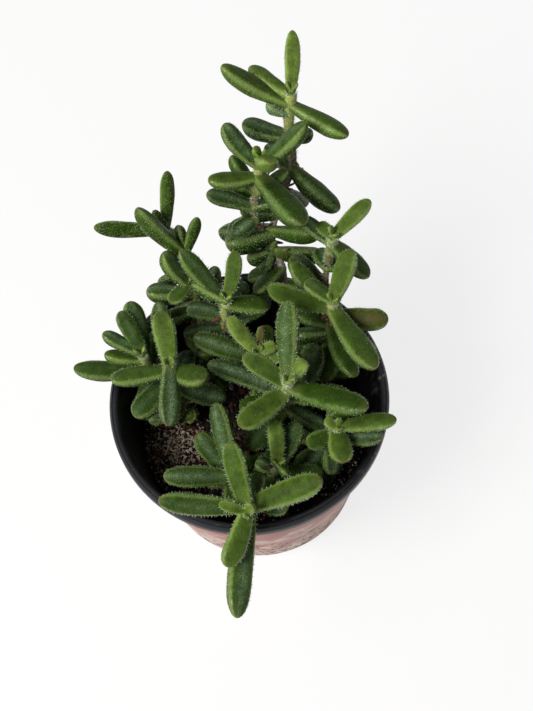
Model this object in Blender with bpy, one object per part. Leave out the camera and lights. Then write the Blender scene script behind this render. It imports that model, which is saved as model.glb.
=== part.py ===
"""Potted delosperma: a small succulent with plump bristly leaves in a thin-walled nursery pot.

The pot stands on z = 0 with its axis on the Z axis, and the soil fills its lower half. Each plant is one
branched stem rooted in the soil. Its leaves grow in opposite pairs, joined round the stem at their bases.
The closely set pairs at a shoot's tip are one rosette, and each lower pair is a piece of its own.
"""

import math

import bmesh
import bpy
import numpy as np
from mathutils import Matrix, Vector

MM = 0.001

# The pot: outer radii, heights and wall, in metres.
POT_HEIGHT = 0.062
POT_BASE_RADIUS = 0.0325
POT_TOP_RADIUS = 0.0403
POT_WALL = 0.0010
POT_SIDES = 40
RIM_RADIUS = 0.0425
RIM_HEIGHT = 0.0042
RIM_MOUTH_RADIUS = 0.0396
BASE_CORNER = 0.0015
DRAIN_HOLES = 6
DRAIN_RADIUS = 0.0030
DRAIN_CIRCLE = 0.0225

# The soil: the height of its surface at the wall and the rise of its middle.
SOIL_EDGE_HEIGHT = 0.0340
SOIL_CROWN = 0.0012
SOIL_RINGS = 4
SOIL_SIDES = 24

# Pieces that touch are kept this far apart.
GAP = 0.0003

# Stems, in millimetres: radius at the tip, growth towards the root, and the blunt end inside the rosette.
STEM_TIP_RADIUS = 0.85
STEM_GROWTH = 0.006
STEM_SIDES = 6
STEM_STEP = 4.6
STEM_END = 3.0

# Leaves: share of the length where a leaf is widest, and its shape there.
WIDEST = 0.58
BASE_SHARE = 0.60
THICKNESS = 0.88
SAG = 0.05
HEEL = 1.2
LEAF_SIDES = 6
LEAF_RINGS = 6
COLLAR_WALL = 1.15
COLLAR_HALF = 1.3
ROSETTE_REACH = 8.0

# Each shoot: the plant that it belongs to, its stem's radius against the others', its route from the root
# to the tip in millimetres, and its leaf pairs. A pair has its distance below the tip in millimetres, then
# for both leaves the compass direction and the rise in degrees, and the length and width in millimetres.
SHOOTS = {
    "tall_back": (
        "back",
        1.25,
        [(14, 24, 31), (17, 35, 68), (15, 43, 78), (20, 51, 88), (25, 58, 95), (25, 63, 107), (27, 68, 118)],
        [
            (2.5, (78, 14, 20, 4.6), (133, 8, 15, 6.0)),
            (5, (156, 32, 23, 6.5), (-44, -1, 20, 6.5)),
            (16, (150, 0, 15, 7.0), (-5, 10, 7, 5.5)),
            (27, (-54, -22, 19, 8.0), (120, -5, 12, 6.0)),
            (34, (10, -60, 13, 6.5), (171, 5, 17, 5.5)),
            (47, (-35, 22, 17, 7.0), (180, -31, 17.5, 8.8)),
            (54, (-15, -22, 16, 7.5), (-160, -46, 9, 6.5)),
        ],
    ),
    "back_branch": (
        "back",
        1.0,
        [(15, 43, 78), (11, 46, 87), (13, 50, 98), (15, 53, 108)],
        [
            (0, (-71, 21, 8, 6.0), (115, 50, 4, 3.0)),
            (2.5, (133, 40, 16, 6.0), (9, 43, 20, 6.5)),
            (6.5, (-170, 22, 16, 6.0), (-69, -2, 24, 8.5)),
            (12.5, (115, 30, 13, 5.5), (10, -10, 11, 5.5)),
            (18, (172, 11, 15, 5.5), (-15, -10, 8, 5.5)),
            (22.5, (-157, 31, 9, 6.5), (-50, 62, 8, 6.0)),
        ],
    ),
    "right_rear": (
        "right_rear",
        1.0,
        [(22, 13, 31), (26, 22, 58), (30, 30, 80), (32, 30, 98)],
        [
            (1.5, (30, 20, 15, 5.0), (125, 10, 6, 4.0)),
            (5.5, (131, 13, 12, 5.0), (-43, -37, 17, 6.5)),
            (19, (140, -30, 7, 5.5), (0, 0, 7, 5.5)),
            (27, (112, 50, 14, 7.5), (-60, 20, 6, 5.0)),
        ],
    ),
    "right_rear_low": (
        "right_rear",
        1.1,
        [(22, 13, 33), (27, 14, 60), (29, 15, 87)],
        [
            (1, (59, 27, 16, 6.5), (138, 16, 10, 5.0)),
            (5, (-71, 12, 26, 7.5), (154, 11, 20, 6.3)),
            (10, (112, 25, 20, 6.0), (-21, -11, 17, 7.0)),
            (15, (153, -26, 11, 6.5), (-83, 0, 19, 6.5)),
            (20.5, (180, -37, 11, 6.5), (25, 0, 11, 6.0)),
        ],
    ),
    "left_rear": (
        "left_rear",
        1.0,
        [(-12, 17, 31), (-13, 24, 60), (-11.5, 42.6, 80), (-16.8, 53.9, 77)],
        [
            (1, (76, 32, 18, 5.0), (173, 11, 22, 5.5)),
            (4.5, (122, 29, 9, 3.5), (-60, 20, 5, 3.5)),
            (14, (142, 35, 21, 7.0), (56, 36, 12, 4.5)),
            (18.5, (100, 15, 7, 4.5), (-166, -4, 11, 5.5)),
        ],
    ),
    "left_rear_low": (
        "left_rear",
        1.0,
        [(-12, 17, 33), (-10, 22, 56), (-12, 33.2, 79)],
        [
            (1, (113, 29, 13, 6.5), (-136, 13, 9, 5.0)),
            (5, (174, 15, 14, 7.0), (60, 20, 8, 4.5)),
            (11, (170, -25, 11, 5.5), (59, 25, 15, 5.5)),
        ],
    ),
    "middle_rear": (
        "middle_rear",
        1.05,
        [(-5, 14, 31), (-4, 20, 62), (-1.6, 22.8, 84)],
        [
            (1, (65, 35, 15, 4.8), (143, 10, 11, 5.5)),
            (3, (-9, -30, 14, 6.5), (127, 34, 21, 6.0)),
            (10, (147, -8, 12, 6.0), (55, -10, 14, 6.0)),
            (16, (-180, 21, 13, 6.0), (20, 10, 16, 5.5)),
        ],
    ),
    "middle": (
        "centre",
        0.95,
        [(8, 1, 33), (5, 7, 54), (5, 9, 73)],
        [
            (0.5, (120, 30, 14, 5.0), (10, 20, 6, 4.0)),
            (5, (160, 15, 21, 6.5), (5, 20, 10, 6.0)),
            (10, (177, 30, 11, 5.0), (70, 5, 14, 5.5)),
        ],
    ),
    "centre": (
        "centre",
        1.1,
        [(8, 1, 31), (10, -4, 58), (12, -7, 86)],
        [
            (0.5, (80, 16, 23, 7.0), (18, 72, 7.5, 5.0)),
            (6, (143, 23, 16, 6.0), (-34, 17, 26, 7.5)),
            (10.5, (-152, -10, 18, 7.5), (65, 5, 12, 6.5)),
            (15.5, (152, 14, 25, 6.0), (-7, 8, 19, 6.5)),
            (20.5, (33, 17, 20, 8.5), (-180, 5, 14, 6.5)),
            (26, (-43, -12, 16, 6.5), (-140, -10, 17, 7.5)),
        ],
    ),
    "left": (
        "left",
        1.05,
        [(-21, 7, 31), (-21, 6, 60), (-21, 6, 83)],
        [
            (1.5, (91, 15, 16, 6.5), (-100, -15, 18, 6.5)),
            (5.5, (-174, 14, 18, 6.0), (-37, 7, 14, 7.0)),
            (10.5, (85, 27, 23, 6.5), (-140, 5, 17, 7.5)),
            (16, (60, -5, 12, 6.0), (-20, -20, 16, 7.0)),
        ],
    ),
    "left_low": (
        "left",
        1.0,
        [(-21, 7, 33), (-28, 12, 58), (-29, 14, 76)],
        [
            (0.5, (110, 27, 14, 5.5), (148, 20, 13, 4.8)),
            (4.5, (94, 28, 18, 7.0), (168, 12, 12, 5.0)),
            (9.5, (174, 11, 22, 6.5), (50, 15, 8, 5.5)),
            (14, (75, 10, 15, 5.5), (-100, -2, 15, 5.5)),
            (19, (-120, 10, 11, 5.5), (10, 0, 10, 5.5)),
        ],
    ),
    "front": (
        "front",
        1.1,
        [(-6, -16, 31), (-4, -28, 54), (-6, -40, 76)],
        [
            (0, (161, 27, 8.5, 3.2), (-5, 67, 4.5, 3.2)),
            (2, (95, 30, 20, 6.5), (-120, -10, 17, 6.5)),
            (6, (171, 18, 26, 6.5), (2, 25, 24, 7.5)),
            (10.5, (60, 20, 9, 5.5), (-106, -12, 33, 7.5)),
        ],
    ),
    "front_low": (
        "front",
        1.0,
        [(-6, -16, 33), (-9, -20, 48), (-8, -25, 65)],
        [
            (1, (95, 25, 22, 6.5), (-85, -5, 7, 5.0)),
            (5, (175, 15, 21, 6.5), (-25, -5, 22, 6.5)),
            (10, (120, 25, 17, 6.5), (-90, -10, 9, 5.5)),
            (15, (165, 10, 14, 6.0), (40, 10, 9, 5.5)),
        ],
    ),
    "right": (
        "right",
        1.0,
        [(19, -12, 31), (22, -16, 56), (24, -19, 74)],
        [
            (0.5, (-5, 5, 17, 5.5), (150, 48, 4.5, 3.5)),
            (4.5, (-90, 5, 11, 7.0), (70, 35, 12, 6.0)),
            (10, (-20, 15, 15, 5.5), (-167, -7, 9, 5.5)),
            (15.5, (-100, 5, 12, 6.5), (70, 25, 12, 6.0)),
        ],
    ),
    "front_small": (
        "front_small",
        0.9,
        [(4, -17, 31), (2, -23, 50), (5, -24, 66)],
        [
            (0.5, (85, 20, 13, 5.0), (-60, 5, 5, 3.5)),
            (6, (50, 18, 16, 6.5), (155, -15, 6, 5.0)),
            (12, (-7, 0, 16, 6.5), (155, -10, 6, 5.0)),
        ],
    ),
}

# Leaves push each other aside until they are clear, in millimetres and radians.
CLEARANCE = 0.45
ROUNDS = 160
HELD = 0.01
MOST_TURN = math.radians(3)
SAMPLES = np.array([0.14, 0.24, 0.34, 0.45, 0.56, 0.67, 0.78, 0.88, 0.955])
LEAF_FLOOR = 36.0


def clear_scene():
    for obj in list(bpy.data.objects):
        bpy.data.objects.remove(obj, do_unlink=True)


def material(name, colour, roughness):
    """A Principled material; the colour is linear red, green and blue."""
    made = bpy.data.materials.new(name)
    made.use_nodes = True
    shader = made.node_tree.nodes["Principled BSDF"]
    shader.inputs["Base Color"].default_value = (*colour, 1.0)
    shader.inputs["Roughness"].default_value = roughness
    shader.inputs["Metallic"].default_value = 0.0
    return made


def add_object(name, shape, finish=None):
    """Makes an object of a bmesh, which is freed. One with no finish is a helper that isn't a piece."""
    mesh = bpy.data.meshes.new(name)
    bmesh.ops.recalc_face_normals(shape, faces=shape.faces)
    shape.to_mesh(mesh)
    shape.free()
    obj = bpy.data.objects.new(name, mesh)
    bpy.context.scene.collection.objects.link(obj)
    if finish is None:
        obj.hide_render = True
        obj.display_type = "WIRE"
    else:
        mesh.materials.append(finish)
        mesh.shade_smooth()
    return obj


def apply_booleans(obj, steps):
    """Joins or cuts the object with each helper in turn, keeps the result and removes the helpers."""
    for operation, helper in steps:
        modifier = obj.modifiers.new(operation.lower(), "BOOLEAN")
        modifier.operation = operation
        modifier.object = helper
    graph = bpy.context.evaluated_depsgraph_get()
    mesh = bpy.data.meshes.new_from_object(obj.evaluated_get(graph))
    obj.modifiers.clear()
    obj.data = mesh
    for _, helper in steps:
        bpy.data.objects.remove(helper, do_unlink=True)


# Routes and stations along the stems


def smooth_route(points, steps=12):
    """A smooth curve through the route's points, as close points in millimetres."""
    points = np.array(points, float)
    ends = np.vstack([2 * points[0] - points[1], points, 2 * points[-1] - points[-2]])
    found = []
    for a, b, c, d in zip(ends, ends[1:], ends[2:], ends[3:]):
        for t in np.arange(steps) / steps:
            cubic = (3 * b - a - 3 * c + d) * t**3 + (2 * a - 5 * b + 4 * c - d) * t**2
            found.append(b + 0.5 * ((c - a) * t + cubic))
    return np.array(found + [points[-1]])


def below_tip(curve, distance):
    """The point at a distance below the curve's tip, and the direction of growth there."""
    down = curve[::-1]
    run = np.concatenate([[0.0], np.cumsum(np.linalg.norm(np.diff(down, axis=0), axis=1))])
    distance = min(distance, run[-1] - 1e-6)
    i = int(np.searchsorted(run, distance, "right")) - 1
    share = (distance - run[i]) / (run[i + 1] - run[i])
    growth = down[i] - down[i + 1]
    return down[i] + (down[i + 1] - down[i]) * share, growth / np.linalg.norm(growth)


def length_of(curve):
    return float(np.linalg.norm(np.diff(curve, axis=0), axis=1).sum())


def stem_radius(distance, girth):
    return girth * (STEM_TIP_RADIUS + STEM_GROWTH * distance)


# The leaves' shape and their places


def leaf_share(along):
    """A leaf's half width at a share of its length, against its greatest half width."""
    along = np.asarray(along, float)
    rise = BASE_SHARE + (1 - BASE_SHARE) * np.sin(np.pi / 2 * np.clip(along / WIDEST, 0, 1))
    fall = (1 - np.clip((along - WIDEST) / (1 - WIDEST), 0, 1) ** 2.5) ** (1 / 2.1)
    return np.where(along < WIDEST, rise, fall)


def axis_points(bases, directions, lengths, along):
    """Points along the middle of each leaf, which sags a little between its base and its tip."""
    upright = np.array([0, 0, 1.0]) - directions * directions[:, 2:]
    upright /= np.linalg.norm(upright, axis=1)[:, None] + 1e-9
    straight = directions[:, None] * (along[None, :] * lengths[:, None])[..., None]
    sag = 4 * SAG * lengths[:, None] * (along * (1 - along))[None, :]
    return bases[:, None] + straight - sag[..., None] * upright[:, None]


def turned(directions, turns):
    angle = np.linalg.norm(turns, axis=1)
    axis = turns / (angle[:, None] + 1e-12)
    cosine = np.cos(angle)[:, None]
    along = np.sum(axis * directions, axis=1)[:, None] * axis
    return directions * cosine + np.cross(axis, directions) * np.sin(angle)[:, None] + along * (1 - cosine)


def compass(azimuth, rise):
    azimuth, rise = math.radians(azimuth), math.radians(rise)
    return [math.cos(azimuth) * math.cos(rise), math.sin(azimuth) * math.cos(rise), math.sin(rise)]


def read_shoots():
    """The leaves of all shoots as arrays, and the stems and collars that they must clear."""
    leaves = []
    solids = []
    for shoot, (plant, girth, route, pairs) in SHOOTS.items():
        curve = smooth_route(route)
        for distance in np.arange(0, length_of(curve), 1.5):
            point, _ = below_tip(curve, distance)
            solids.append((*point, stem_radius(distance, girth) + 0.15, plant))
        lower = 0
        for distance, *pair in pairs:
            point, growth = below_tip(curve, distance)
            lower += distance >= ROSETTE_REACH
            group = f"{shoot}_pair_{lower}" if lower else f"{shoot}_rosette"
            for offset in (-0.9, 0.9):
                solids.append((*(point + growth * offset), 2.0, group))
            for azimuth, rise, length, width in pair:
                leaves.append((point, compass(azimuth, rise), length, width, group, plant))
    return leaves, solids


def push_from_pot(spheres, radii, push):
    """Adds the push of the pot's wall and rim on the spheres to their pushes."""
    across = np.hypot(spheres[:, 0], spheres[:, 1])
    seen = np.stack([across, spheres[:, 2]], axis=1)
    wall = ((POT_BASE_RADIUS / MM, 0.0), (POT_TOP_RADIUS / MM, 60.0), 0.6)
    rim = ((40.4, 59.7), (41.6, 59.7), 2.3)
    for start, end, thickness in (wall, rim):
        start, end = np.array(start), np.array(end)
        share = np.clip((seen - start) @ (end - start) / ((end - start) @ (end - start)), 0, 1)
        away = seen - (start + share[:, None] * (end - start))
        distance = np.linalg.norm(away, axis=1) + 1e-9
        away *= (np.clip(radii + thickness + CLEARANCE - distance, 0, None) / distance)[:, None]
        push[:, 0] += away[:, 0] * spheres[:, 0] / across
        push[:, 1] += away[:, 0] * spheres[:, 1] / across
        push[:, 2] += away[:, 1]


def settle_leaves(leaves, solids):
    """Turns the leaves about their bases until each is clear of the others, and returns their directions."""
    bases = np.array([leaf[0] for leaf in leaves])
    wanted = np.array([leaf[1] for leaf in leaves])
    lengths = np.array([leaf[2] for leaf in leaves], float)
    widths = np.array([leaf[3] for leaf in leaves])
    groups = np.array([leaf[4] for leaf in leaves])
    plants = np.array([leaf[5] for leaf in leaves])
    count, samples = len(leaves), len(SAMPLES)
    radii = (widths[:, None] / 2 * leaf_share(SAMPLES)).ravel()
    owner = np.repeat(np.arange(count), samples)
    along = np.tile(SAMPLES, count)

    one, two = np.triu_indices(count, 1)
    near = np.linalg.norm(bases[one] - bases[two], axis=1) < lengths[one] + lengths[two] + 8
    near &= groups[one] != groups[two]
    one, two = one[near], two[near]
    steps = np.arange(samples)
    first = (one[:, None, None] * samples + steps[None, :, None] + 0 * steps).ravel()
    second = (two[:, None, None] * samples + steps[None, None, :] + 0 * steps[:, None]).ravel()
    reach = radii[first] + radii[second] + CLEARANCE

    centres = np.array([solid[:3] for solid in solids])
    sizes = np.array([solid[3] for solid in solids])
    marks = np.array([solid[4] for solid in solids])
    moved, still = [grid.ravel() for grid in np.indices((count * samples, len(solids)))]
    own = (marks[still] == plants[owner[moved]]) & (along[moved] < 0.4)
    own |= marks[still] == groups[owner[moved]]
    far = np.linalg.norm(bases[owner[moved]] - centres[still], axis=1) > lengths[owner[moved]] + 8
    moved, still = moved[~own & ~far], still[~own & ~far]
    distances = radii[moved] + sizes[still] + CLEARANCE

    directions = wanted.copy()
    for turn in range(ROUNDS):
        spheres = axis_points(bases, directions, lengths, SAMPLES).reshape(-1, 3)
        push = np.zeros_like(spheres)
        for a, b, need, centre in ((first, second, reach, spheres), (moved, still, distances, centres)):
            away = spheres[a] - centre[b]
            square = np.einsum("ij,ij->i", away, away)
            hit = square < need**2
            distance = np.sqrt(square[hit]) + 1e-9
            shove = away[hit] / distance[:, None] * (need[hit] - distance)[:, None]
            if centre is spheres:
                np.add.at(push, a[hit], shove / 2)
                np.add.at(push, b[hit], -shove / 2)
            else:
                np.add.at(push, a[hit], shove)
        push[:, 2] += np.clip(LEAF_FLOOR + CLEARANCE + radii - spheres[:, 2], 0, None)
        push_from_pot(spheres, radii, push)
        arm = spheres - bases[owner]
        turns = np.zeros_like(directions)
        np.add.at(turns, owner, np.cross(arm, push) / (np.sum(arm * arm, axis=1)[:, None] + 4) / 2)
        size = np.linalg.norm(turns, axis=1)
        turns *= np.minimum(1, MOST_TURN / (size + 1e-12))[:, None]
        directions = turned(directions, turns)
        directions += HELD * (1 - turn / ROUNDS) * (wanted - directions)
        directions /= np.linalg.norm(directions, axis=1)[:, None]
    return directions


# The pieces


def add_pot():
    """A thin-walled pot with a rolled rim and drainage holes, turned about the Z axis."""
    lean = (POT_TOP_RADIUS - POT_BASE_RADIUS) / (POT_HEIGHT - RIM_HEIGHT)
    rim_low = POT_HEIGHT - RIM_HEIGHT
    profile = [
        (0.0, 0.0),
        (POT_BASE_RADIUS - BASE_CORNER, 0.0),
        (POT_BASE_RADIUS, BASE_CORNER),
        (POT_TOP_RADIUS, rim_low),
        (RIM_RADIUS - 0.0006, rim_low),
        (RIM_RADIUS, rim_low + 0.0006),
        (RIM_RADIUS, POT_HEIGHT - 0.0010),
        (RIM_RADIUS - 0.0008, POT_HEIGHT - 0.0002),
        (RIM_RADIUS - 0.0016, POT_HEIGHT),
        (RIM_MOUTH_RADIUS + 0.0005, POT_HEIGHT - 0.0003),
        (RIM_MOUTH_RADIUS, POT_HEIGHT - 0.0012),
        (POT_TOP_RADIUS - POT_WALL - 0.0001, rim_low),
        (POT_BASE_RADIUS + lean * 0.0012 - POT_WALL, 0.0022),
        (POT_BASE_RADIUS - 2 * POT_WALL, POT_WALL),
        (0.0, POT_WALL),
    ]
    shape = bmesh.new()
    line = [shape.verts.new((radius, 0, height)) for radius, height in profile]
    edges = [shape.edges.new(pair) for pair in zip(line, line[1:])]
    bmesh.ops.spin(
        shape, geom=line + edges, axis=(0, 0, 1), cent=(0, 0, 0), angle=2 * math.pi, steps=POT_SIDES, use_merge=True
    )
    bmesh.ops.remove_doubles(shape, verts=shape.verts, dist=1e-6)
    pot = add_object("pot", shape, material("thin_polypropylene", (0.30, 0.12, 0.10), 0.6))
    holes = bmesh.new()
    for i in range(DRAIN_HOLES):
        angle = 2 * math.pi * (i + 0.5) / DRAIN_HOLES
        place = Matrix.Translation((DRAIN_CIRCLE * math.cos(angle), DRAIN_CIRCLE * math.sin(angle), 0))
        bmesh.ops.create_cone(
            holes, cap_ends=True, segments=12, radius1=DRAIN_RADIUS, radius2=DRAIN_RADIUS, depth=0.004, matrix=place
        )
    apply_booleans(pot, [("DIFFERENCE", add_object("drain_holes", holes))])
    return pot


def soil_height(x, y):
    """The height of the soil's surface, with a low crown and shallow waves."""
    crown = SOIL_CROWN * (1 - (x * x + y * y) / POT_TOP_RADIUS**2)
    waves = 0.0004 * math.sin(x * 310 + 1.0) * math.cos(y * 270)
    return SOIL_EDGE_HEIGHT + crown + waves


def add_soil(roots):
    """The soil: it fills the pot up to its uneven surface, with a socket round each root."""
    lean = (POT_TOP_RADIUS - POT_BASE_RADIUS) / (POT_HEIGHT - RIM_HEIGHT)
    clear = POT_WALL + 2 * GAP
    bottom = POT_WALL + GAP
    low = 0.0030
    low_radius = POT_BASE_RADIUS + lean * low - clear
    edge_radius = POT_BASE_RADIUS + lean * SOIL_EDGE_HEIGHT - clear
    shape = bmesh.new()

    def ring(radius, height_at):
        turn = [2 * math.pi * i / SOIL_SIDES for i in range(SOIL_SIDES)]
        places = [(radius * math.cos(a), radius * math.sin(a)) for a in turn]
        return [shape.verts.new((x, y, height_at(x, y))) for x, y in places]

    rings = [ring(POT_BASE_RADIUS - 3 * POT_WALL, lambda x, y: bottom), ring(low_radius, lambda x, y: low)]
    rings.append(ring(edge_radius, soil_height))
    for i in range(SOIL_RINGS - 1, 0, -1):
        rings.append(ring(edge_radius * i / SOIL_RINGS, soil_height))
    for lower, upper in zip(rings, rings[1:]):
        for i in range(SOIL_SIDES):
            j = (i + 1) % SOIL_SIDES
            shape.faces.new((lower[i], lower[j], upper[j], upper[i]))
    shape.faces.new(list(reversed(rings[0])))
    shape.faces.new(rings[-1])
    soil = add_object("soil", shape, material("gritty_potting_soil", (0.035, 0.024, 0.018), 0.95))
    apply_booleans(soil, [("DIFFERENCE", root) for root in roots])
    return soil


def tube(curve, girth, top, extra, end_extra):
    """A bmesh tube along a stem's curve from its root to the distance top below its tip."""
    shape = bmesh.new()
    total = length_of(curve)
    count = max(3, round((total - top) / STEM_STEP))
    distances = np.linspace(total - 1e-3, top, count + 1)
    centres = []
    for distance in distances:
        point, growth = below_tip(curve, distance)
        centres.append((point, growth, stem_radius(distance, girth) + extra))
    first, last = centres[0], centres[-1]
    centres[0] = (first[0] - first[1] * end_extra, first[1], first[2])
    centres[-1] = (last[0] + last[1] * end_extra, last[1], last[2])
    previous = None
    for point, growth, radius in centres:
        turn = Vector(growth).to_track_quat("Z", "Y").to_matrix().to_4x4()
        place = Matrix.Translation(Vector(point) * MM) @ turn
        made = bmesh.ops.create_circle(shape, cap_ends=False, segments=STEM_SIDES, radius=radius * MM, matrix=place)
        loop = list({edge for vert in made["verts"] for edge in vert.link_edges})
        if previous:
            bmesh.ops.bridge_loops(shape, edges=previous + loop)
        previous = loop
    ends = [edge for edge in shape.edges if edge.is_boundary]
    bmesh.ops.holes_fill(shape, edges=ends, sides=STEM_SIDES)
    return shape


def add_stems():
    """One branched stem for each plant; returns its members' curves and girths by plant."""
    plants = {}
    for plant, girth, route, _ in SHOOTS.values():
        plants.setdefault(plant, []).append((smooth_route(route), girth))
    for number, (plant, members) in enumerate(plants.items()):
        bark = (0.16 + 0.01 * (number % 3), 0.12, 0.06)
        shapes = [tube(curve, girth, STEM_END, 0.0, 0.0) for curve, girth in members]
        stem = add_object(f"{plant}_stem", shapes[0], material(f"{plant}_bark", bark, 0.85))
        branches = [add_object(f"{plant}_branch", shape) for shape in shapes[1:]]
        apply_booleans(stem, [("UNION", branch) for branch in branches])
    return plants


def stem_cutters(members):
    """Helpers a little fatter and longer than a plant's stem, which leave the gap round it."""
    fat = GAP / MM * 1.5
    return [add_object("stem_room", tube(curve, girth, STEM_END, fat, fat)) for curve, girth in members]


def leaf_shape(base, direction, length, width, roll):
    """A plump leaf as a bmesh: a long round with a narrower heel, its facets rolled by an angle."""
    shape = bmesh.new()
    place = Matrix.Rotation(roll, 4, "Z")
    bmesh.ops.create_uvsphere(shape, u_segments=LEAF_SIDES, v_segments=LEAF_RINGS, radius=1.0, matrix=place)
    ahead = Vector(direction)
    side = Vector((0, 0, 1)).cross(ahead)
    side = side.normalized() if side.length > 1e-3 else Vector((1, 0, 0))
    upper = ahead.cross(side)
    for vert in shape.verts:
        across = math.hypot(vert.co.x, vert.co.y)
        share = (vert.co.z + 1) / 2
        middle = axis_points(
            np.array([base]), np.array([direction]), np.array([length]), np.array([max(share, 0.0)])
        )[0, 0]
        middle = Vector(middle) - ahead * HEEL * (1 - share) ** 3
        half = width / 2 * float(leaf_share(share)) if across > 1e-6 else 0.0
        if across > 1e-6:
            half *= min(1.0, across / 0.42) if share < 0.5 else 1.0
            offset = side * (vert.co.x / across) + upper * (vert.co.y / across) * THICKNESS
            middle += offset * half
        vert.co = middle * MM
    return shape


def collar_shape(top, bottom, radius):
    """The short sheath that joins the leaves' bases round the stem, between two points on its axis."""
    shape = bmesh.new()
    axis = Vector(top) - Vector(bottom)
    place = Matrix.Translation((Vector(top) + Vector(bottom)) / 2 * MM)
    place = place @ axis.to_track_quat("Z", "Y").to_matrix().to_4x4()
    bmesh.ops.create_cone(
        shape,
        cap_ends=True,
        segments=LEAF_SIDES,
        radius1=radius * MM,
        radius2=radius * MM * 0.9,
        depth=axis.length * MM,
        matrix=place,
    )
    return shape


def add_leaves(plants):
    """Every rosette and leaf pair, each joined by its collar and clear of its plant's stem."""
    leaves, solids = read_shoots()
    directions = settle_leaves(leaves, solids)
    grown = {}
    for leaf, direction in zip(leaves, directions):
        grown.setdefault(leaf[4], []).append((leaf, direction))
    for shoot, (plant, girth, route, pairs) in SHOOTS.items():
        curve = smooth_route(route)
        stations = {}
        lower = 0
        for distance, *_ in pairs:
            lower += distance >= ROSETTE_REACH
            group = f"{shoot}_pair_{lower}" if lower else f"{shoot}_rosette"
            stations.setdefault(group, []).append(distance)
        for group, distances in stations.items():
            members = grown[group]
            shapes = []
            for number, ((base, _, length, width, *_), direction) in enumerate(members):
                shapes.append(leaf_shape(base, direction, length, width, math.radians(11 * number)))
            young = group.endswith("rosette")
            colour = (0.10, 0.22, 0.05) if young else (0.06, 0.15, 0.035)
            piece = add_object(group, shapes[0], material(f"{group}_skin", colour, 0.5))
            radius = stem_radius(distances[-1], girth) + COLLAR_WALL
            top, _ = below_tip(curve, max(distances[0] - COLLAR_HALF, 0.0))
            bottom, _ = below_tip(curve, distances[-1] + COLLAR_HALF)
            steps = [("UNION", add_object("leaf", shape)) for shape in shapes[1:]]
            steps.append(("UNION", add_object("collar", collar_shape(top, bottom, radius))))
            steps += [("DIFFERENCE", cutter) for cutter in stem_cutters(plants[plant])]
            apply_booleans(piece, steps)


def main():
    clear_scene()
    add_pot()
    plants = add_stems()
    add_soil([cutter for members in plants.values() for cutter in stem_cutters(members)])
    add_leaves(plants)


main()
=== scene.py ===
import functools
import math
import re

import bmesh
import bpy
import numpy as np
from mathutils import Matrix, Vector, noise


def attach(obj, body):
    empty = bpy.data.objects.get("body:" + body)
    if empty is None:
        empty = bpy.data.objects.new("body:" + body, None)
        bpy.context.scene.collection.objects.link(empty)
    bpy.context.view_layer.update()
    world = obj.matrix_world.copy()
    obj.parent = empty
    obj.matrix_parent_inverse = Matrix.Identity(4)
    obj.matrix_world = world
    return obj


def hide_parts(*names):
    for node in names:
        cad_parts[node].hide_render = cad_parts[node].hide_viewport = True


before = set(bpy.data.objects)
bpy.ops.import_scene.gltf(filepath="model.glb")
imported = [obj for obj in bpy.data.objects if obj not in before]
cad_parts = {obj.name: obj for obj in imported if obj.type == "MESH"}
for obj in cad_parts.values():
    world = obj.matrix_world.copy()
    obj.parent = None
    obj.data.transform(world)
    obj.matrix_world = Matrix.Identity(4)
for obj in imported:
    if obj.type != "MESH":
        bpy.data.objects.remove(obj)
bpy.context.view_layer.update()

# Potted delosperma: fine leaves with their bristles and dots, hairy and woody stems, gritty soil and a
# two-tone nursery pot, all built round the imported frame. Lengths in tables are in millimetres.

MM = 0.001
scene = bpy.context.scene

# ---------------------------------------------------------------------------------------------------------
# Sizes that the solids share
# ---------------------------------------------------------------------------------------------------------

POT_HEIGHT = 62.0
POT_BASE_RADIUS = 32.5
POT_TOP_RADIUS = 40.3
POT_WALL = 1.0
RIM_RADIUS = 42.5
RIM_HEIGHT = 4.2
RIM_MOUTH_RADIUS = 39.6
DRAIN_HOLES = 6
DRAIN_RADIUS = 3.0
DRAIN_CIRCLE = 22.5
SOIL_HEIGHT = 34.4

STEM_TIP_RADIUS = 0.85
STEM_GROWTH = 0.006
STEM_END = 3.0
WIDEST = 0.58
BASE_SHARE = 0.60
SAG = 0.05
HEEL = 1.2
ROSETTE_REACH = 8.0

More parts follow.
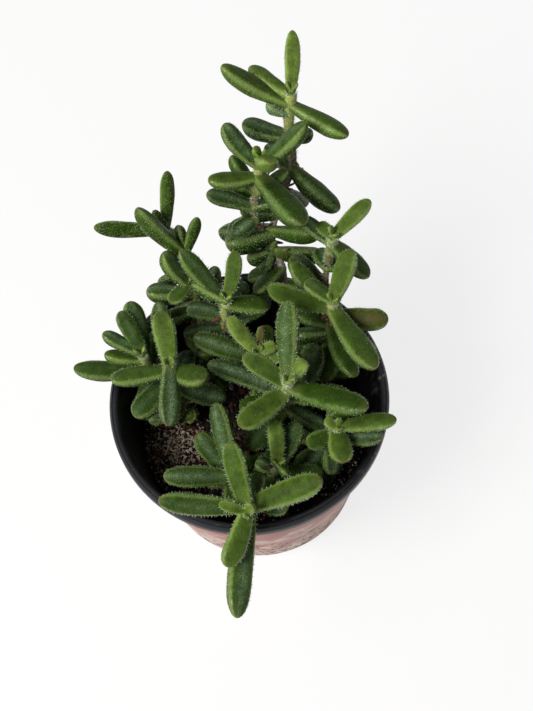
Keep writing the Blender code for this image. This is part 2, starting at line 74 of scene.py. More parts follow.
# Each shoot: the plant that it belongs to, its stem's radius against the others', its route from the root
# to the tip, and its leaf pairs. A pair has its distance below the tip, then for both leaves the compass
# direction and the rise in degrees, and the length and width.
SHOOTS = {
    "tall_back": (
        "back",
        1.25,
        [(14, 24, 31), (17, 35, 68), (15, 43, 78), (20, 51, 88), (25, 58, 95), (25, 63, 107), (27, 68, 118)],
        [
            (2.5, (78, 14, 20, 4.6), (133, 8, 15, 6.0)),
            (5, (156, 32, 23, 6.5), (-44, -1, 20, 6.5)),
            (16, (150, 0, 15, 7.0), (-5, 10, 7, 5.5)),
            (27, (-54, -22, 19, 8.0), (120, -5, 12, 6.0)),
            (34, (10, -60, 13, 6.5), (171, 5, 17, 5.5)),
            (47, (-35, 22, 17, 7.0), (180, -31, 17.5, 8.8)),
            (54, (-15, -22, 16, 7.5), (-160, -46, 9, 6.5)),
        ],
    ),
    "back_branch": (
        "back",
        1.0,
        [(15, 43, 78), (11, 46, 87), (13, 50, 98), (15, 53, 108)],
        [
            (0, (-71, 21, 8, 6.0), (115, 50, 4, 3.0)),
            (2.5, (133, 40, 16, 6.0), (9, 43, 20, 6.5)),
            (6.5, (-170, 22, 16, 6.0), (-69, -2, 24, 8.5)),
            (12.5, (115, 30, 13, 5.5), (10, -10, 11, 5.5)),
            (18, (172, 11, 15, 5.5), (-15, -10, 8, 5.5)),
            (22.5, (-157, 31, 9, 6.5), (-50, 62, 8, 6.0)),
        ],
    ),
    "right_rear": (
        "right_rear",
        1.0,
        [(22, 13, 31), (26, 22, 58), (30, 30, 80), (32, 30, 98)],
        [
            (1.5, (30, 20, 15, 5.0), (125, 10, 6, 4.0)),
            (5.5, (131, 13, 12, 5.0), (-43, -37, 17, 6.5)),
            (19, (140, -30, 7, 5.5), (0, 0, 7, 5.5)),
            (27, (112, 50, 14, 7.5), (-60, 20, 6, 5.0)),
        ],
    ),
    "right_rear_low": (
        "right_rear",
        1.1,
        [(22, 13, 33), (27, 14, 60), (29, 15, 87)],
        [
            (1, (59, 27, 16, 6.5), (138, 16, 10, 5.0)),
            (5, (-71, 12, 26, 7.5), (154, 11, 20, 6.3)),
            (10, (112, 25, 20, 6.0), (-21, -11, 17, 7.0)),
            (15, (153, -26, 11, 6.5), (-83, 0, 19, 6.5)),
            (20.5, (180, -37, 11, 6.5), (25, 0, 11, 6.0)),
        ],
    ),
    "left_rear": (
        "left_rear",
        1.0,
        [(-12, 17, 31), (-13, 24, 60), (-11.5, 42.6, 80), (-16.8, 53.9, 77)],
        [
            (1, (76, 32, 18, 5.0), (173, 11, 22, 5.5)),
            (4.5, (122, 29, 9, 3.5), (-60, 20, 5, 3.5)),
            (14, (142, 35, 21, 7.0), (56, 36, 12, 4.5)),
            (18.5, (100, 15, 7, 4.5), (-166, -4, 11, 5.5)),
        ],
    ),
    "left_rear_low": (
        "left_rear",
        1.0,
        [(-12, 17, 33), (-10, 22, 56), (-12, 33.2, 79)],
        [
            (1, (113, 29, 13, 6.5), (-136, 13, 9, 5.0)),
            (5, (174, 15, 14, 7.0), (60, 20, 8, 4.5)),
            (11, (170, -25, 11, 5.5), (59, 25, 15, 5.5)),
        ],
    ),
    "middle_rear": (
        "middle_rear",
        1.05,
        [(-5, 14, 31), (-4, 20, 62), (-1.6, 22.8, 84)],
        [
            (1, (65, 35, 15, 4.8), (143, 10, 11, 5.5)),
            (3, (-9, -30, 14, 6.5), (127, 34, 21, 6.0)),
            (10, (147, -8, 12, 6.0), (55, -10, 14, 6.0)),
            (16, (-180, 21, 13, 6.0), (20, 10, 16, 5.5)),
        ],
    ),
    "middle": (
        "centre",
        0.95,
        [(8, 1, 33), (5, 7, 54), (5, 9, 73)],
        [
            (0.5, (120, 30, 14, 5.0), (10, 20, 6, 4.0)),
            (5, (160, 15, 21, 6.5), (5, 20, 10, 6.0)),
            (10, (177, 30, 11, 5.0), (70, 5, 14, 5.5)),
        ],
    ),
    "centre": (
        "centre",
        1.1,
        [(8, 1, 31), (10, -4, 58), (12, -7, 86)],
        [
            (0.5, (80, 16, 23, 7.0), (18, 72, 7.5, 5.0)),
            (6, (143, 23, 16, 6.0), (-34, 17, 26, 7.5)),
            (10.5, (-152, -10, 18, 7.5), (65, 5, 12, 6.5)),
            (15.5, (152, 14, 25, 6.0), (-7, 8, 19, 6.5)),
            (20.5, (33, 17, 20, 8.5), (-180, 5, 14, 6.5)),
            (26, (-43, -12, 16, 6.5), (-140, -10, 17, 7.5)),
        ],
    ),
    "left": (
        "left",
        1.05,
        [(-21, 7, 31), (-21, 6, 60), (-21, 6, 83)],
        [
            (1.5, (91, 15, 16, 6.5), (-100, -15, 18, 6.5)),
            (5.5, (-174, 14, 18, 6.0), (-37, 7, 14, 7.0)),
            (10.5, (85, 27, 23, 6.5), (-140, 5, 17, 7.5)),
            (16, (60, -5, 12, 6.0), (-20, -20, 16, 7.0)),
        ],
    ),
    "left_low": (
        "left",
        1.0,
        [(-21, 7, 33), (-28, 12, 58), (-29, 14, 76)],
        [
            (0.5, (110, 27, 14, 5.5), (148, 20, 13, 4.8)),
            (4.5, (94, 28, 18, 7.0), (168, 12, 12, 5.0)),
            (9.5, (174, 11, 22, 6.5), (50, 15, 8, 5.5)),
            (14, (75, 10, 15, 5.5), (-100, -2, 15, 5.5)),
            (19, (-120, 10, 11, 5.5), (10, 0, 10, 5.5)),
        ],
    ),
    "front": (
        "front",
        1.1,
        [(-6, -16, 31), (-4, -28, 54), (-6, -40, 76)],
        [
            (0, (161, 27, 8.5, 3.2), (-5, 67, 4.5, 3.2)),
            (2, (95, 30, 20, 6.5), (-120, -10, 17, 6.5)),
            (6, (171, 18, 26, 6.5), (2, 25, 24, 7.5)),
            (10.5, (60, 20, 9, 5.5), (-106, -12, 33, 7.5)),
        ],
    ),
    "front_low": (
        "front",
        1.0,
        [(-6, -16, 33), (-9, -20, 48), (-8, -25, 65)],
        [
            (1, (95, 25, 22, 6.5), (-85, -5, 7, 5.0)),
            (5, (175, 15, 21, 6.5), (-25, -5, 22, 6.5)),
            (10, (120, 25, 17, 6.5), (-90, -10, 9, 5.5)),
            (15, (165, 10, 14, 6.0), (40, 10, 9, 5.5)),
        ],
    ),
    "right": (
        "right",
        1.0,
        [(19, -12, 31), (22, -16, 56), (24, -19, 74)],
        [
            (0.5, (-5, 5, 17, 5.5), (150, 48, 4.5, 3.5)),
            (4.5, (-90, 5, 11, 7.0), (70, 35, 12, 6.0)),
            (10, (-20, 15, 15, 5.5), (-167, -7, 9, 5.5)),
            (15.5, (-100, 5, 12, 6.5), (70, 25, 12, 6.0)),
        ],
    ),
    "front_small": (
        "front_small",
        0.9,
        [(4, -17, 31), (2, -23, 50), (5, -24, 66)],
        [
            (0.5, (85, 20, 13, 5.0), (-60, 5, 5, 3.5)),
            (6, (50, 18, 16, 6.5), (155, -15, 6, 5.0)),
            (12, (-7, 0, 16, 6.5), (155, -10, 6, 5.0)),
        ],
    ),
}
# Older, darker pairs low on the stems, in the shade of the others, each with its distance below the tip.
UNDERGROWTH = {
    "tall_back": [(60, (50, 15, 12, 6.0), (-130, 5, 13, 6.0)), (67, (-35, 10, 11, 5.5), (145, 5, 12, 6.0))],
    "right_rear": [(34, (150, 10, 13, 6.0), (-30, 5, 12, 5.5)), (43, (60, 5, 11, 6.0), (-120, 5, 13, 6.0))],
    "right_rear_low": [
        (26, (60, 15, 13, 6.0), (-115, 5, 14, 6.5)),
        (32, (-25, 10, 13, 6.0), (150, 10, 14, 6.5)),
        (39, (70, 10, 11, 6.0), (-110, 5, 13, 6.0)),
        (46, (-20, 5, 11, 6.0), (160, 5, 12, 6.0)),
    ],
    "left_rear": [(22, (20, 10, 11, 5.5), (-160, 5, 12, 6.0)), (30, (110, 10, 12, 5.5), (-70, 5, 13, 6.0))],
    "left_rear_low": [
        (17, (-30, 10, 13, 6.0), (150, 0, 12, 5.5)),
        (24, (-115, 5, 14, 6.0), (60, 10, 12, 5.5)),
        (32, (-20, 10, 12, 6.0), (160, 5, 12, 6.0)),
    ],
    "middle_rear": [
        (16, (125, 15, 11, 6.0), (-60, 0, 12, 6.0)),
        (22, (-70, 10, 14, 6.0), (110, 10, 12, 5.5)),
        (29, (-165, 5, 13, 6.0), (10, 10, 13, 6.0)),
        (36, (-75, 5, 12, 6.0), (100, 10, 12, 6.0)),
    ],
    "middle": [
        (15, (-110, 5, 12, 5.5), (80, 10, 12, 5.5)),
        (21, (170, 5, 13, 6.0), (-10, 5, 12, 6.0)),
        (28, (-95, 0, 12, 6.0), (95, 5, 11, 6.0)),
    ],
    "centre": [
        (26, (-36, -5, 14, 6.2), (145, 0, 13, 6.0)),
        (32, (40, 5, 15, 6.5), (-150, 5, 13, 6.5)),
        (38, (-50, 5, 14, 6.5), (130, 5, 13, 6.0)),
        (44, (20, 5, 13, 6.0), (-160, 0, 12, 6.0)),
    ],
    "left": [
        (22, (70, 5, 12, 6.0), (-160, 5, 11, 5.5)),
        (28, (150, 5, 12, 5.5), (25, 5, 10, 5.5)),
        (35, (60, 5, 12, 6.0), (-165, 5, 8, 5.0)),
    ],
    "left_low": [(25, (80, 5, 12, 5.5), (-100, 5, 10, 5.5)), (32, (160, 15, 9, 5.0), (-20, 5, 10, 5.5))],
    "front": [(17, (20, 5, 13, 6.0), (-165, 5, 13, 6.0)), (24, (110, 5, 12, 6.0), (-70, 5, 11, 5.5))],
    "front_low": [(20, (70, 5, 12, 5.5), (-110, 0, 10, 5.5)), (26, (-10, 5, 12, 5.5), (170, 0, 11, 5.5))],
    "right": [
        (16, (171, 5, 10.5, 6.0), (-60, 0, 10, 5.5)),
        (22, (170, 5, 13, 6.0), (-10, 5, 12, 6.0)),
        (28, (80, 5, 12, 6.0), (-100, 0, 12, 6.0)),
    ],
    "front_small": [
        (11, (143, 12, 13, 6.0), (-28, 0, 11.5, 6.0)),
        (17, (70, 5, 11, 5.5), (-110, 0, 10, 5.5)),
        (24, (-20, 0, 10, 5.5), (160, 5, 11, 5.5)),
    ],
}

# Leaves push each other aside until they are clear.
CLEARANCE = 0.45
ROUNDS = 160
HELD = 0.01
MOST_TURN = math.radians(3)
SAMPLES = np.array([0.14, 0.24, 0.34, 0.45, 0.56, 0.67, 0.78, 0.88, 0.955])
LEAF_FLOOR = 36.0

# The fine leaves.
LEAF_SIDES = 24
LEAF_RINGS = 18
SMALL_LEAF_FACES = (12, 10)
FACE_HEIGHT = 0.72
KEEL_DEPTH = 0.90
BRISTLE_STEP = 0.72
BRISTLES_PER_CM2 = 20
BRISTLE_RADIUS = 0.105
LEAF_MARKS = ("along", "round", "youth", "tone", "worn")
# Shoots whose bristles are shorter or longer than the others'.
BRISTLE_SHARES = {
    "tall_back": 0.5,
    "back_branch": 0.5,
    "left_rear": 0.55,
    "left_rear_low": 0.95,
    "right_rear": 0.7,
    "right_rear_low": 0.75,
    "middle_rear": 1.2,
    "left": 0.85,
    "left_low": 0.7,
    "right": 0.7,
    "centre": 1.05,
    "front": 0.9,
    "front_low": 0.9,
}
# Leaves with a look of their own: shoot, place among its leaves from the tip, and what differs.
LEAF_LOOKS = {
    ("middle", 0): {"youth": 1.0, "tone": 1.0},
    ("middle", 1): {"youth": 1.0, "tone": 1.0},
    ("middle", 2): {"youth": 0.45, "tone": 0.20},
    ("middle", 3): {"youth": 0.9, "tone": 0.85},
    ("left", 0): {"youth": 1.0, "tone": 0.66},
    ("left", 1): {"youth": 0.1, "tone": 0.05},
    ("left", 2): {"youth": 0.9, "tone": 0.52},
    ("left", 3): {"youth": 0.45, "tone": 0.60},
    ("left", 4): {"youth": 0.2, "tone": 0.10},
    ("left", 5): {"youth": 0.1, "tone": 0.50},
    ("left_low", 0): {"youth": 0.3, "tone": 0.45},
    ("left_low", 1): {"youth": 0.5, "tone": 0.20},
    ("left_low", 2): {"youth": 0.4, "tone": 0.30},
    ("left_low", 3): {"youth": 0.4, "tone": 0.75},
    ("left_low", 4): {"youth": 0.25, "tone": 0.55},
    ("front_low", 0): {"youth": 0.55, "tone": 0.15},
    ("front_low", 2): {"youth": 0.35, "tone": 0.22},
    ("front_low", 3): {"youth": 0.30, "tone": 0.50},
    ("front_small", 0): {"youth": 0.9, "tone": 0.80},
    ("front_small", 1): {"youth": 1.0, "tone": 0.60},
    ("front_small", 2): {"youth": 0.10, "tone": 0.40},
    ("right", 0): {"youth": 0.45, "tone": 0.80},
    ("right", 1): {"youth": 1.0, "tone": 0.90},
    ("right", 2): {"youth": 0.55, "tone": 0.75},
    ("right", 3): {"youth": 0.15, "tone": 0.70},
    ("centre", 0): {"youth": 0.95, "tone": 0.26, "fuzz": 0.8},
    ("centre", 1): {"youth": 1.0, "tone": 1.0},
    ("centre", 2): {"youth": 0.9, "tone": 0.55},
    ("centre", 3): {"youth": 0.0, "tone": 0.85},
    ("centre", 4): {"youth": 0.45, "tone": 0.75},
    ("centre", 6): {"youth": 0.1, "tone": 0.02},
    ("centre", 7): {"youth": 0.2, "tone": 0.60},
    ("front", 0): {"youth": 1.0, "tone": 0.72},
    ("front", 1): {"youth": 1.0, "tone": 1.0},
    ("front", 2): {"youth": 1.0, "tone": 0.55},
    ("front", 3): {"youth": 0.65, "tone": 0.72},
    ("front", 4): {"youth": 0.60, "tone": 0.42},
    ("front", 5): {"youth": 0.80, "tone": 0.60},
    ("front", 7): {"youth": 0.85, "tone": 0.20},
    ("tall_back", 0): {"youth": 1.0, "tone": 0.95},
    ("tall_back", 1): {"youth": 0.9, "tone": 0.80},
    ("tall_back", 2): {"youth": 0.65, "tone": 0.70},
    ("tall_back", 3): {"youth": 0.65, "tone": 0.60},
    ("tall_back", 12): {"youth": 0.1, "tone": 0.5, "worn": 0.3},
    ("tall_back", 13): {"youth": 0.1, "tone": 0.3, "worn": 0.35},
    ("back_branch", 0): {"youth": 1.0, "tone": 0.85},
    ("back_branch", 1): {"youth": 1.0, "tone": 0.70},
    ("back_branch", 2): {"youth": 0.60, "tone": 0.16},
    ("back_branch", 3): {"youth": 0.85, "tone": 0.34},
    ("back_branch", 4): {"youth": 0.75, "tone": 0.70},
    ("back_branch", 5): {"youth": 0.18, "tone": 0.62},
    ("back_branch", 6): {"youth": 0.10, "tone": 0.62},
    ("left_rear", 0): {"youth": 0.55, "tone": 0.60},
    ("left_rear", 1): {"youth": 0.50, "tone": 0.40},
    ("left_rear", 4): {"youth": 0.30, "tone": 0.62},
    ("left_rear_low", 0): {"youth": 0.85, "tone": 0.25},
    ("middle_rear", 0): {"youth": 0.85, "tone": 0.60},
    ("middle_rear", 2): {"youth": 0.35, "tone": 0.75},
    ("middle_rear", 3): {"youth": 0.45, "tone": 0.40},
    ("middle_rear", 4): {"youth": 0.05, "tone": 0.25},
    ("middle_rear", 5): {"youth": 0.05, "tone": 0.30},
    ("middle_rear", 6): {"youth": 0.05, "tone": 0.20},
    ("right_rear", 0): {"youth": 0.95, "tone": 0.75},
    ("right_rear_low", 0): {"youth": 0.85, "tone": 0.70},
    ("right_rear_low", 2): {"youth": 0.45, "tone": 0.60},
    ("right_rear_low", 3): {"youth": 0.60, "tone": 0.62},
    ("right_rear_low", 5): {"youth": 0.15, "tone": 0.60, "worn": 0.40},
}

# Seedlings on the soil: place, count of leaves, and their length and width.
SEEDLINGS = [((-19.6, 5.2, 42.3), 14, 3.4, 2.8), ((-25.5, 9.5, 39.0), 1, 7.5, 5.0)]

# Clusters of dead leaf bits on the stems: shoot, distance below its tip and count.
DEAD_BITS = [
    ("middle_rear", 9, 8),
    ("front_small", 3, 4),
    ("front_low", 13, 4),
    ("back_branch", 9, 6),
    ("tall_back", 27, 3),
    ("tall_back", 33, 5),
    ("right_rear", 16, 4),
    ("right_rear_low", 8, 5),
    ("right_rear_low", 42, 5),
]
# Small leaves beside the pairs: shoot, distance below its tip, compass direction and rise, length, width
# and look.
SMALL_LEAVES = [
    ("tall_back", 8, 165, 32, 7.5, 5.0, {"youth": 1.0, "tone": -0.5, "fuzz": 2.5}),
    ("middle", 3, 72, 38, 9.5, 2.6, {"worn": 1.0, "tone": 0.8}),
    ("left_rear", 12, 95, 25, 7.0, 4.6, {"youth": 0.2, "tone": 0.05, "pointed": 0.2}),
    ("tall_back", 48, -167, 14, 15.0, 9.6, {"youth": 0.1, "tone": 0.35}),
    ("tall_back", 42, 172, 24, 11.5, 6.6, {"youth": 0.0, "tone": 0.08}),
    ("tall_back", 51, -124, -36, 10.0, 6.8, {"youth": 0.0, "tone": 0.2}),
]
# How far a low leaf may reach into a neighbour, in millimetres, and how young a low leaf looks.
DEEPEST_OVERLAP = 0.8
LOW_LEAF_YOUTH = 0.24
# A degree in radians, near enough for the buds.
BUD_DEGREE = 0.0175

# The stems. Below SLIM_FROM a stem gets slimmer than the solid one, over a length of SLIM_OVER.
STEM_SIDES = 10
STEM_STEP = 1.2
SLIM_FROM = 12
SLIM_OVER = 20
SLIMMING = 0.22
STEM_HAIR_REACH = 26
STEM_HAIRS = 640

# The soil. Small meshes of a few lumps each are joined, because a large one is slow to work on.
LUMPS_AT_ONCE = 80


# ---------------------------------------------------------------------------------------------------------
# Making pieces and materials
# ---------------------------------------------------------------------------------------------------------


def new_piece(name, shape, finishes, replaced=()):
    """Makes a piece of a bmesh, which is freed. It rides on the pot's body and takes the slot's finish."""
    mesh = bpy.data.meshes.new(name)
    shape.to_mesh(mesh)
    shape.free()
    mesh.shade_smooth()
    for finish in finishes:
        mesh.materials.append(finish)
    piece = bpy.data.objects.new(name, mesh)
    scene.collection.objects.link(piece)
    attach(piece, "root")
    if replaced:
        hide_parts(*replaced)
    return piece


def put_in(shape, batch):
    """Adds a small bmesh, which is freed, to a larger one."""
    mesh = bpy.data.meshes.new("batch")
    batch.to_mesh(mesh)
    batch.free()
    shape.from_mesh(mesh)
    bpy.data.meshes.remove(mesh)


def linear(hex_colour, alpha=1.0):
    """Linear red, green, blue and alpha of an sRGB colour written as six hex digits."""
    parts = [int(hex_colour[i : i + 2], 16) / 255 for i in (0, 2, 4)]
    parts = [p / 12.92 if p <= 0.04045 else ((p + 0.055) / 1.055) ** 2.4 for p in parts]
    return (*parts, alpha)


def add_node(tree, kind, inputs=(), output=None, stops=(), **settings):
    """Adds a shader node with its settings and links, and returns one of its outputs, or the first in use.

    The inputs are numbers, colours or other nodes' outputs, in the order of the sockets that the settings
    leave in use, or by the sockets' names. A colour is six hex digits. A colour ramp's stop has its place,
    and a colour or a share of white.
    """
    made = tree.nodes.new("ShaderNode" + kind)
    for name, value in settings.items():
        setattr(made, name, value)
    if isinstance(inputs, dict):
        sockets = [made.inputs[name] for name in inputs]
        inputs = inputs.values()
    else:
        sockets = [socket for socket in made.inputs if socket.enabled]
    for socket, value in zip(sockets, inputs):
        give(socket, value)
    if stops:
        points = made.color_ramp.elements
        while len(points) < len(stops):
            points.new(0.5)
        for point, (place, colour) in zip(points, stops):
            point.position = place
            point.color = linear(colour) if isinstance(colour, str) else (colour, colour, colour, 1)
    return made.outputs[output] if output else next(socket for socket in made.outputs if socket.enabled)


def give(socket, value):
    """Links another node's output to an input, or sets the input to a number, a vector or six hex digits."""
    if isinstance(value, bpy.types.NodeSocket):
        socket.id_data.links.new(value, socket)
    else:
        socket.default_value = linear(value) if isinstance(value, str) else value


def new_material(name):
    """An empty node material, and the function that adds a node to it."""
    made = bpy.data.materials.new(name)
    made.use_nodes = True
    return made, functools.partial(add_node, made.node_tree)


def finish_shader(made, colour, height, relief, **values):
    """Gives a material's shader its colour, its bump and other values, and returns the material.

    The relief is the bump's strength and its depth in metres.
    """
    bump = {"Height": height, "Strength": relief[0], "Distance": relief[1]}
    values = {"Base Color": colour, "Normal": add_node(made.node_tree, "Bump", bump), **values}
    for name, value in values.items():
        give(made.node_tree.nodes["Principled BSDF"].inputs[name.replace("_", " ")], value)
    return made


# ---------------------------------------------------------------------------------------------------------
# Routes, leaves' places and their settling, as in the solids
# ---------------------------------------------------------------------------------------------------------


def smooth_route(points, steps=12):
    """A smooth curve through the route's points, as close points in millimetres."""
    points = np.array(points, float)
    ends = np.vstack([2 * points[0] - points[1], points, 2 * points[-1] - points[-2]])
    found = []
    for a, b, c, d in zip(ends, ends[1:], ends[2:], ends[3:]):
        for t in np.arange(steps) / steps:
            cubic = (3 * b - a - 3 * c + d) * t**3 + (2 * a - 5 * b + 4 * c - d) * t**2
            found.append(b + 0.5 * ((c - a) * t + cubic))
    return np.array(found + [points[-1]])


def below_tip(curve, distance):
    """The point at a distance below the curve's tip, and the direction of growth there."""
    down = curve[::-1]
    run = np.concatenate([[0.0], np.cumsum(np.linalg.norm(np.diff(down, axis=0), axis=1))])
    distance = min(distance, run[-1] - 1e-6)
    i = int(np.searchsorted(run, distance, "right")) - 1
    share = (distance - run[i]) / (run[i + 1] - run[i])
    growth = down[i] - down[i + 1]
    return down[i] + (down[i + 1] - down[i]) * share, growth / np.linalg.norm(growth)


def length_of(curve):
    return float(np.linalg.norm(np.diff(curve, axis=0), axis=1).sum())


def stem_radius(distance, girth):
    return girth * (STEM_TIP_RADIUS + STEM_GROWTH * distance)


def fleshy_radius(distance, girth):
    """The stem's radius with the soft green rind that its young end still has."""
    return stem_radius(distance, girth) + 0.55 * math.exp(-(((distance - 6) / 9) ** 2))


def leaf_share(along):
    """A leaf's half width at a share of its length, against its greatest half width."""
    along = np.asarray(along, float)
    rise = BASE_SHARE + (1 - BASE_SHARE) * np.sin(np.pi / 2 * np.clip(along / WIDEST, 0, 1))
    fall = (1 - np.clip((along - WIDEST) / (1 - WIDEST), 0, 1) ** 2.5) ** (1 / 2.1)
    return np.where(along < WIDEST, rise, fall)


def axis_points(bases, directions, lengths, along):
    """Points along the middle of each leaf, which sags a little between its base and its tip."""
    upright = np.array([0, 0, 1.0]) - directions * directions[:, 2:]
    upright /= np.linalg.norm(upright, axis=1)[:, None] + 1e-9
    straight = directions[:, None] * (along[None, :] * lengths[:, None])[..., None]
    sag = 4 * SAG * lengths[:, None] * (along * (1 - along))[None, :]
    return bases[:, None] + straight - sag[..., None] * upright[:, None]


def turned(directions, turns):
    angle = np.linalg.norm(turns, axis=1)
    axis = turns / (angle[:, None] + 1e-12)
    cosine = np.cos(angle)[:, None]
    along = np.sum(axis * directions, axis=1)[:, None] * axis
    return directions * cosine + np.cross(axis, directions) * np.sin(angle)[:, None] + along * (1 - cosine)


def compass(azimuth, rise):
    azimuth, rise = math.radians(azimuth), math.radians(rise)
    return [math.cos(azimuth) * math.cos(rise), math.sin(azimuth) * math.cos(rise), math.sin(rise)]


def read_shoots(pairs_of):
    """The leaves of all shoots, and the stems and collars that they must clear."""
    leaves = []
    solids = []
    for shoot, (plant, girth, route, upper) in SHOOTS.items():
        curve = smooth_route(route)
        for distance in np.arange(0, length_of(curve), 1.5):
            point, _ = below_tip(curve, distance)
            solids.append((*point, stem_radius(distance, girth) + 0.15, plant))
        lower = 0
        for distance, *pair in pairs_of(shoot, upper):
            point, growth = below_tip(curve, distance)
            lower += distance >= ROSETTE_REACH
            group = f"{shoot}_pair_{lower}" if lower else f"{shoot}_rosette"
            for offset in (-0.9, 0.9):
                solids.append((*(point + growth * offset), 2.0, group))
            for azimuth, rise, length, width in pair:
                leaves.append((point, compass(azimuth, rise), length, width, group, plant, growth, distance))
    return leaves, solids


def push_from_pot(spheres, radii, push):
    """Adds the push of the pot's wall and rim on the spheres to their pushes."""
    across = np.hypot(spheres[:, 0], spheres[:, 1])
    seen = np.stack([across, spheres[:, 2]], axis=1)
    wall = ((POT_BASE_RADIUS, 0.0), (POT_TOP_RADIUS, 60.0), 0.6)
    rim = ((40.4, 59.7), (41.6, 59.7), 2.3)
    for start, end, thickness in (wall, rim):
        start, end = np.array(start), np.array(end)
        share = np.clip((seen - start) @ (end - start) / ((end - start) @ (end - start)), 0, 1)
        away = seen - (start + share[:, None] * (end - start))
        distance = np.linalg.norm(away, axis=1) + 1e-9
        away *= (np.clip(radii + thickness + CLEARANCE - distance, 0, None) / distance)[:, None]
        push[:, 0] += away[:, 0] * spheres[:, 0] / across
        push[:, 1] += away[:, 0] * spheres[:, 1] / across
        push[:, 2] += away[:, 1]


def settle_leaves(leaves, solids, fixed=0):
    """Turns the leaves about their bases until each is clear of the others. The first ones may be fixed.

    Returns their directions, and how deep each one still reaches into the others."""
    bases = np.array([leaf[0] for leaf in leaves])
    wanted = np.array([leaf[1] for leaf in leaves])
    lengths = np.array([leaf[2] for leaf in leaves], float)
    widths = np.array([leaf[3] for leaf in leaves])
    groups = np.array([leaf[4] for leaf in leaves])
    plants = np.array([leaf[5] for leaf in leaves])
    count, samples = len(leaves), len(SAMPLES)
    radii = (widths[:, None] / 2 * leaf_share(SAMPLES)).ravel()
    owner = np.repeat(np.arange(count), samples)
    along = np.tile(SAMPLES, count)

    one, two = np.triu_indices(count, 1)
    near = np.linalg.norm(bases[one] - bases[two], axis=1) < lengths[one] + lengths[two] + 8
    near &= groups[one] != groups[two]
    near &= two >= fixed
    one, two = one[near], two[near]
    steps = np.arange(samples)
    first = (one[:, None, None] * samples + steps[None, :, None] + 0 * steps).ravel()
    second = (two[:, None, None] * samples + steps[None, None, :] + 0 * steps[:, None]).ravel()
    reach = radii[first] + radii[second] + CLEARANCE
    share = np.where(owner[first] < fixed, 0.0, 0.5)[:, None]

    centres = np.array([solid[:3] for solid in solids])
    sizes = np.array([solid[3] for solid in solids])
    marks = np.array([solid[4] for solid in solids])
    moved, still = [grid.ravel() for grid in np.indices((count * samples, len(solids)))]
    own = (marks[still] == plants[owner[moved]]) & (along[moved] < 0.4)
    own |= marks[still] == groups[owner[moved]]
    far = np.linalg.norm(bases[owner[moved]] - centres[still], axis=1) > lengths[owner[moved]] + 8
    moved, still = moved[~own & ~far], still[~own & ~far]
    distances = radii[moved] + sizes[still] + CLEARANCE

    directions = wanted.copy()
    depths = np.zeros(count)
    for turn in range(ROUNDS):
        spheres = axis_points(bases, directions, lengths, SAMPLES).reshape(-1, 3)
        push = np.zeros_like(spheres)
        depths[:] = 0
        for a, b, need, centre in ((first, second, reach, spheres), (moved, still, distances, centres)):
            away = spheres[a] - centre[b]
            square = np.einsum("ij,ij->i", away, away)
            hit = square < need**2
            distance = np.sqrt(square[hit]) + 1e-9
            shove = away[hit] / distance[:, None] * (need[hit] - distance)[:, None]
            if centre is spheres:
                np.add.at(push, a[hit], shove * share[hit])
                np.add.at(push, b[hit], -shove * (1 - share[hit]))
                np.maximum.at(depths, owner[b[hit]], need[hit] - distance - CLEARANCE)
            else:
                np.add.at(push, a[hit], shove)
        push[:, 2] += np.clip(LEAF_FLOOR + CLEARANCE + radii - spheres[:, 2], 0, None)
        push_from_pot(spheres, radii, push)
        arm = spheres - bases[owner]
        turns = np.zeros_like(directions)
        np.add.at(turns, owner, np.cross(arm, push) / (np.sum(arm * arm, axis=1)[:, None] + 4) / 2)
        size = np.linalg.norm(turns, axis=1)
        turns *= np.minimum(1, MOST_TURN / (size + 1e-12))[:, None]
        turns[:fixed] = 0
        directions = turned(directions, turns)
        directions += HELD * (1 - turn / ROUNDS) * (wanted - directions)
        directions /= np.linalg.norm(directions, axis=1)[:, None]
    return directions, depths


# ---------------------------------------------------------------------------------------------------------
# Leaves
# ---------------------------------------------------------------------------------------------------------


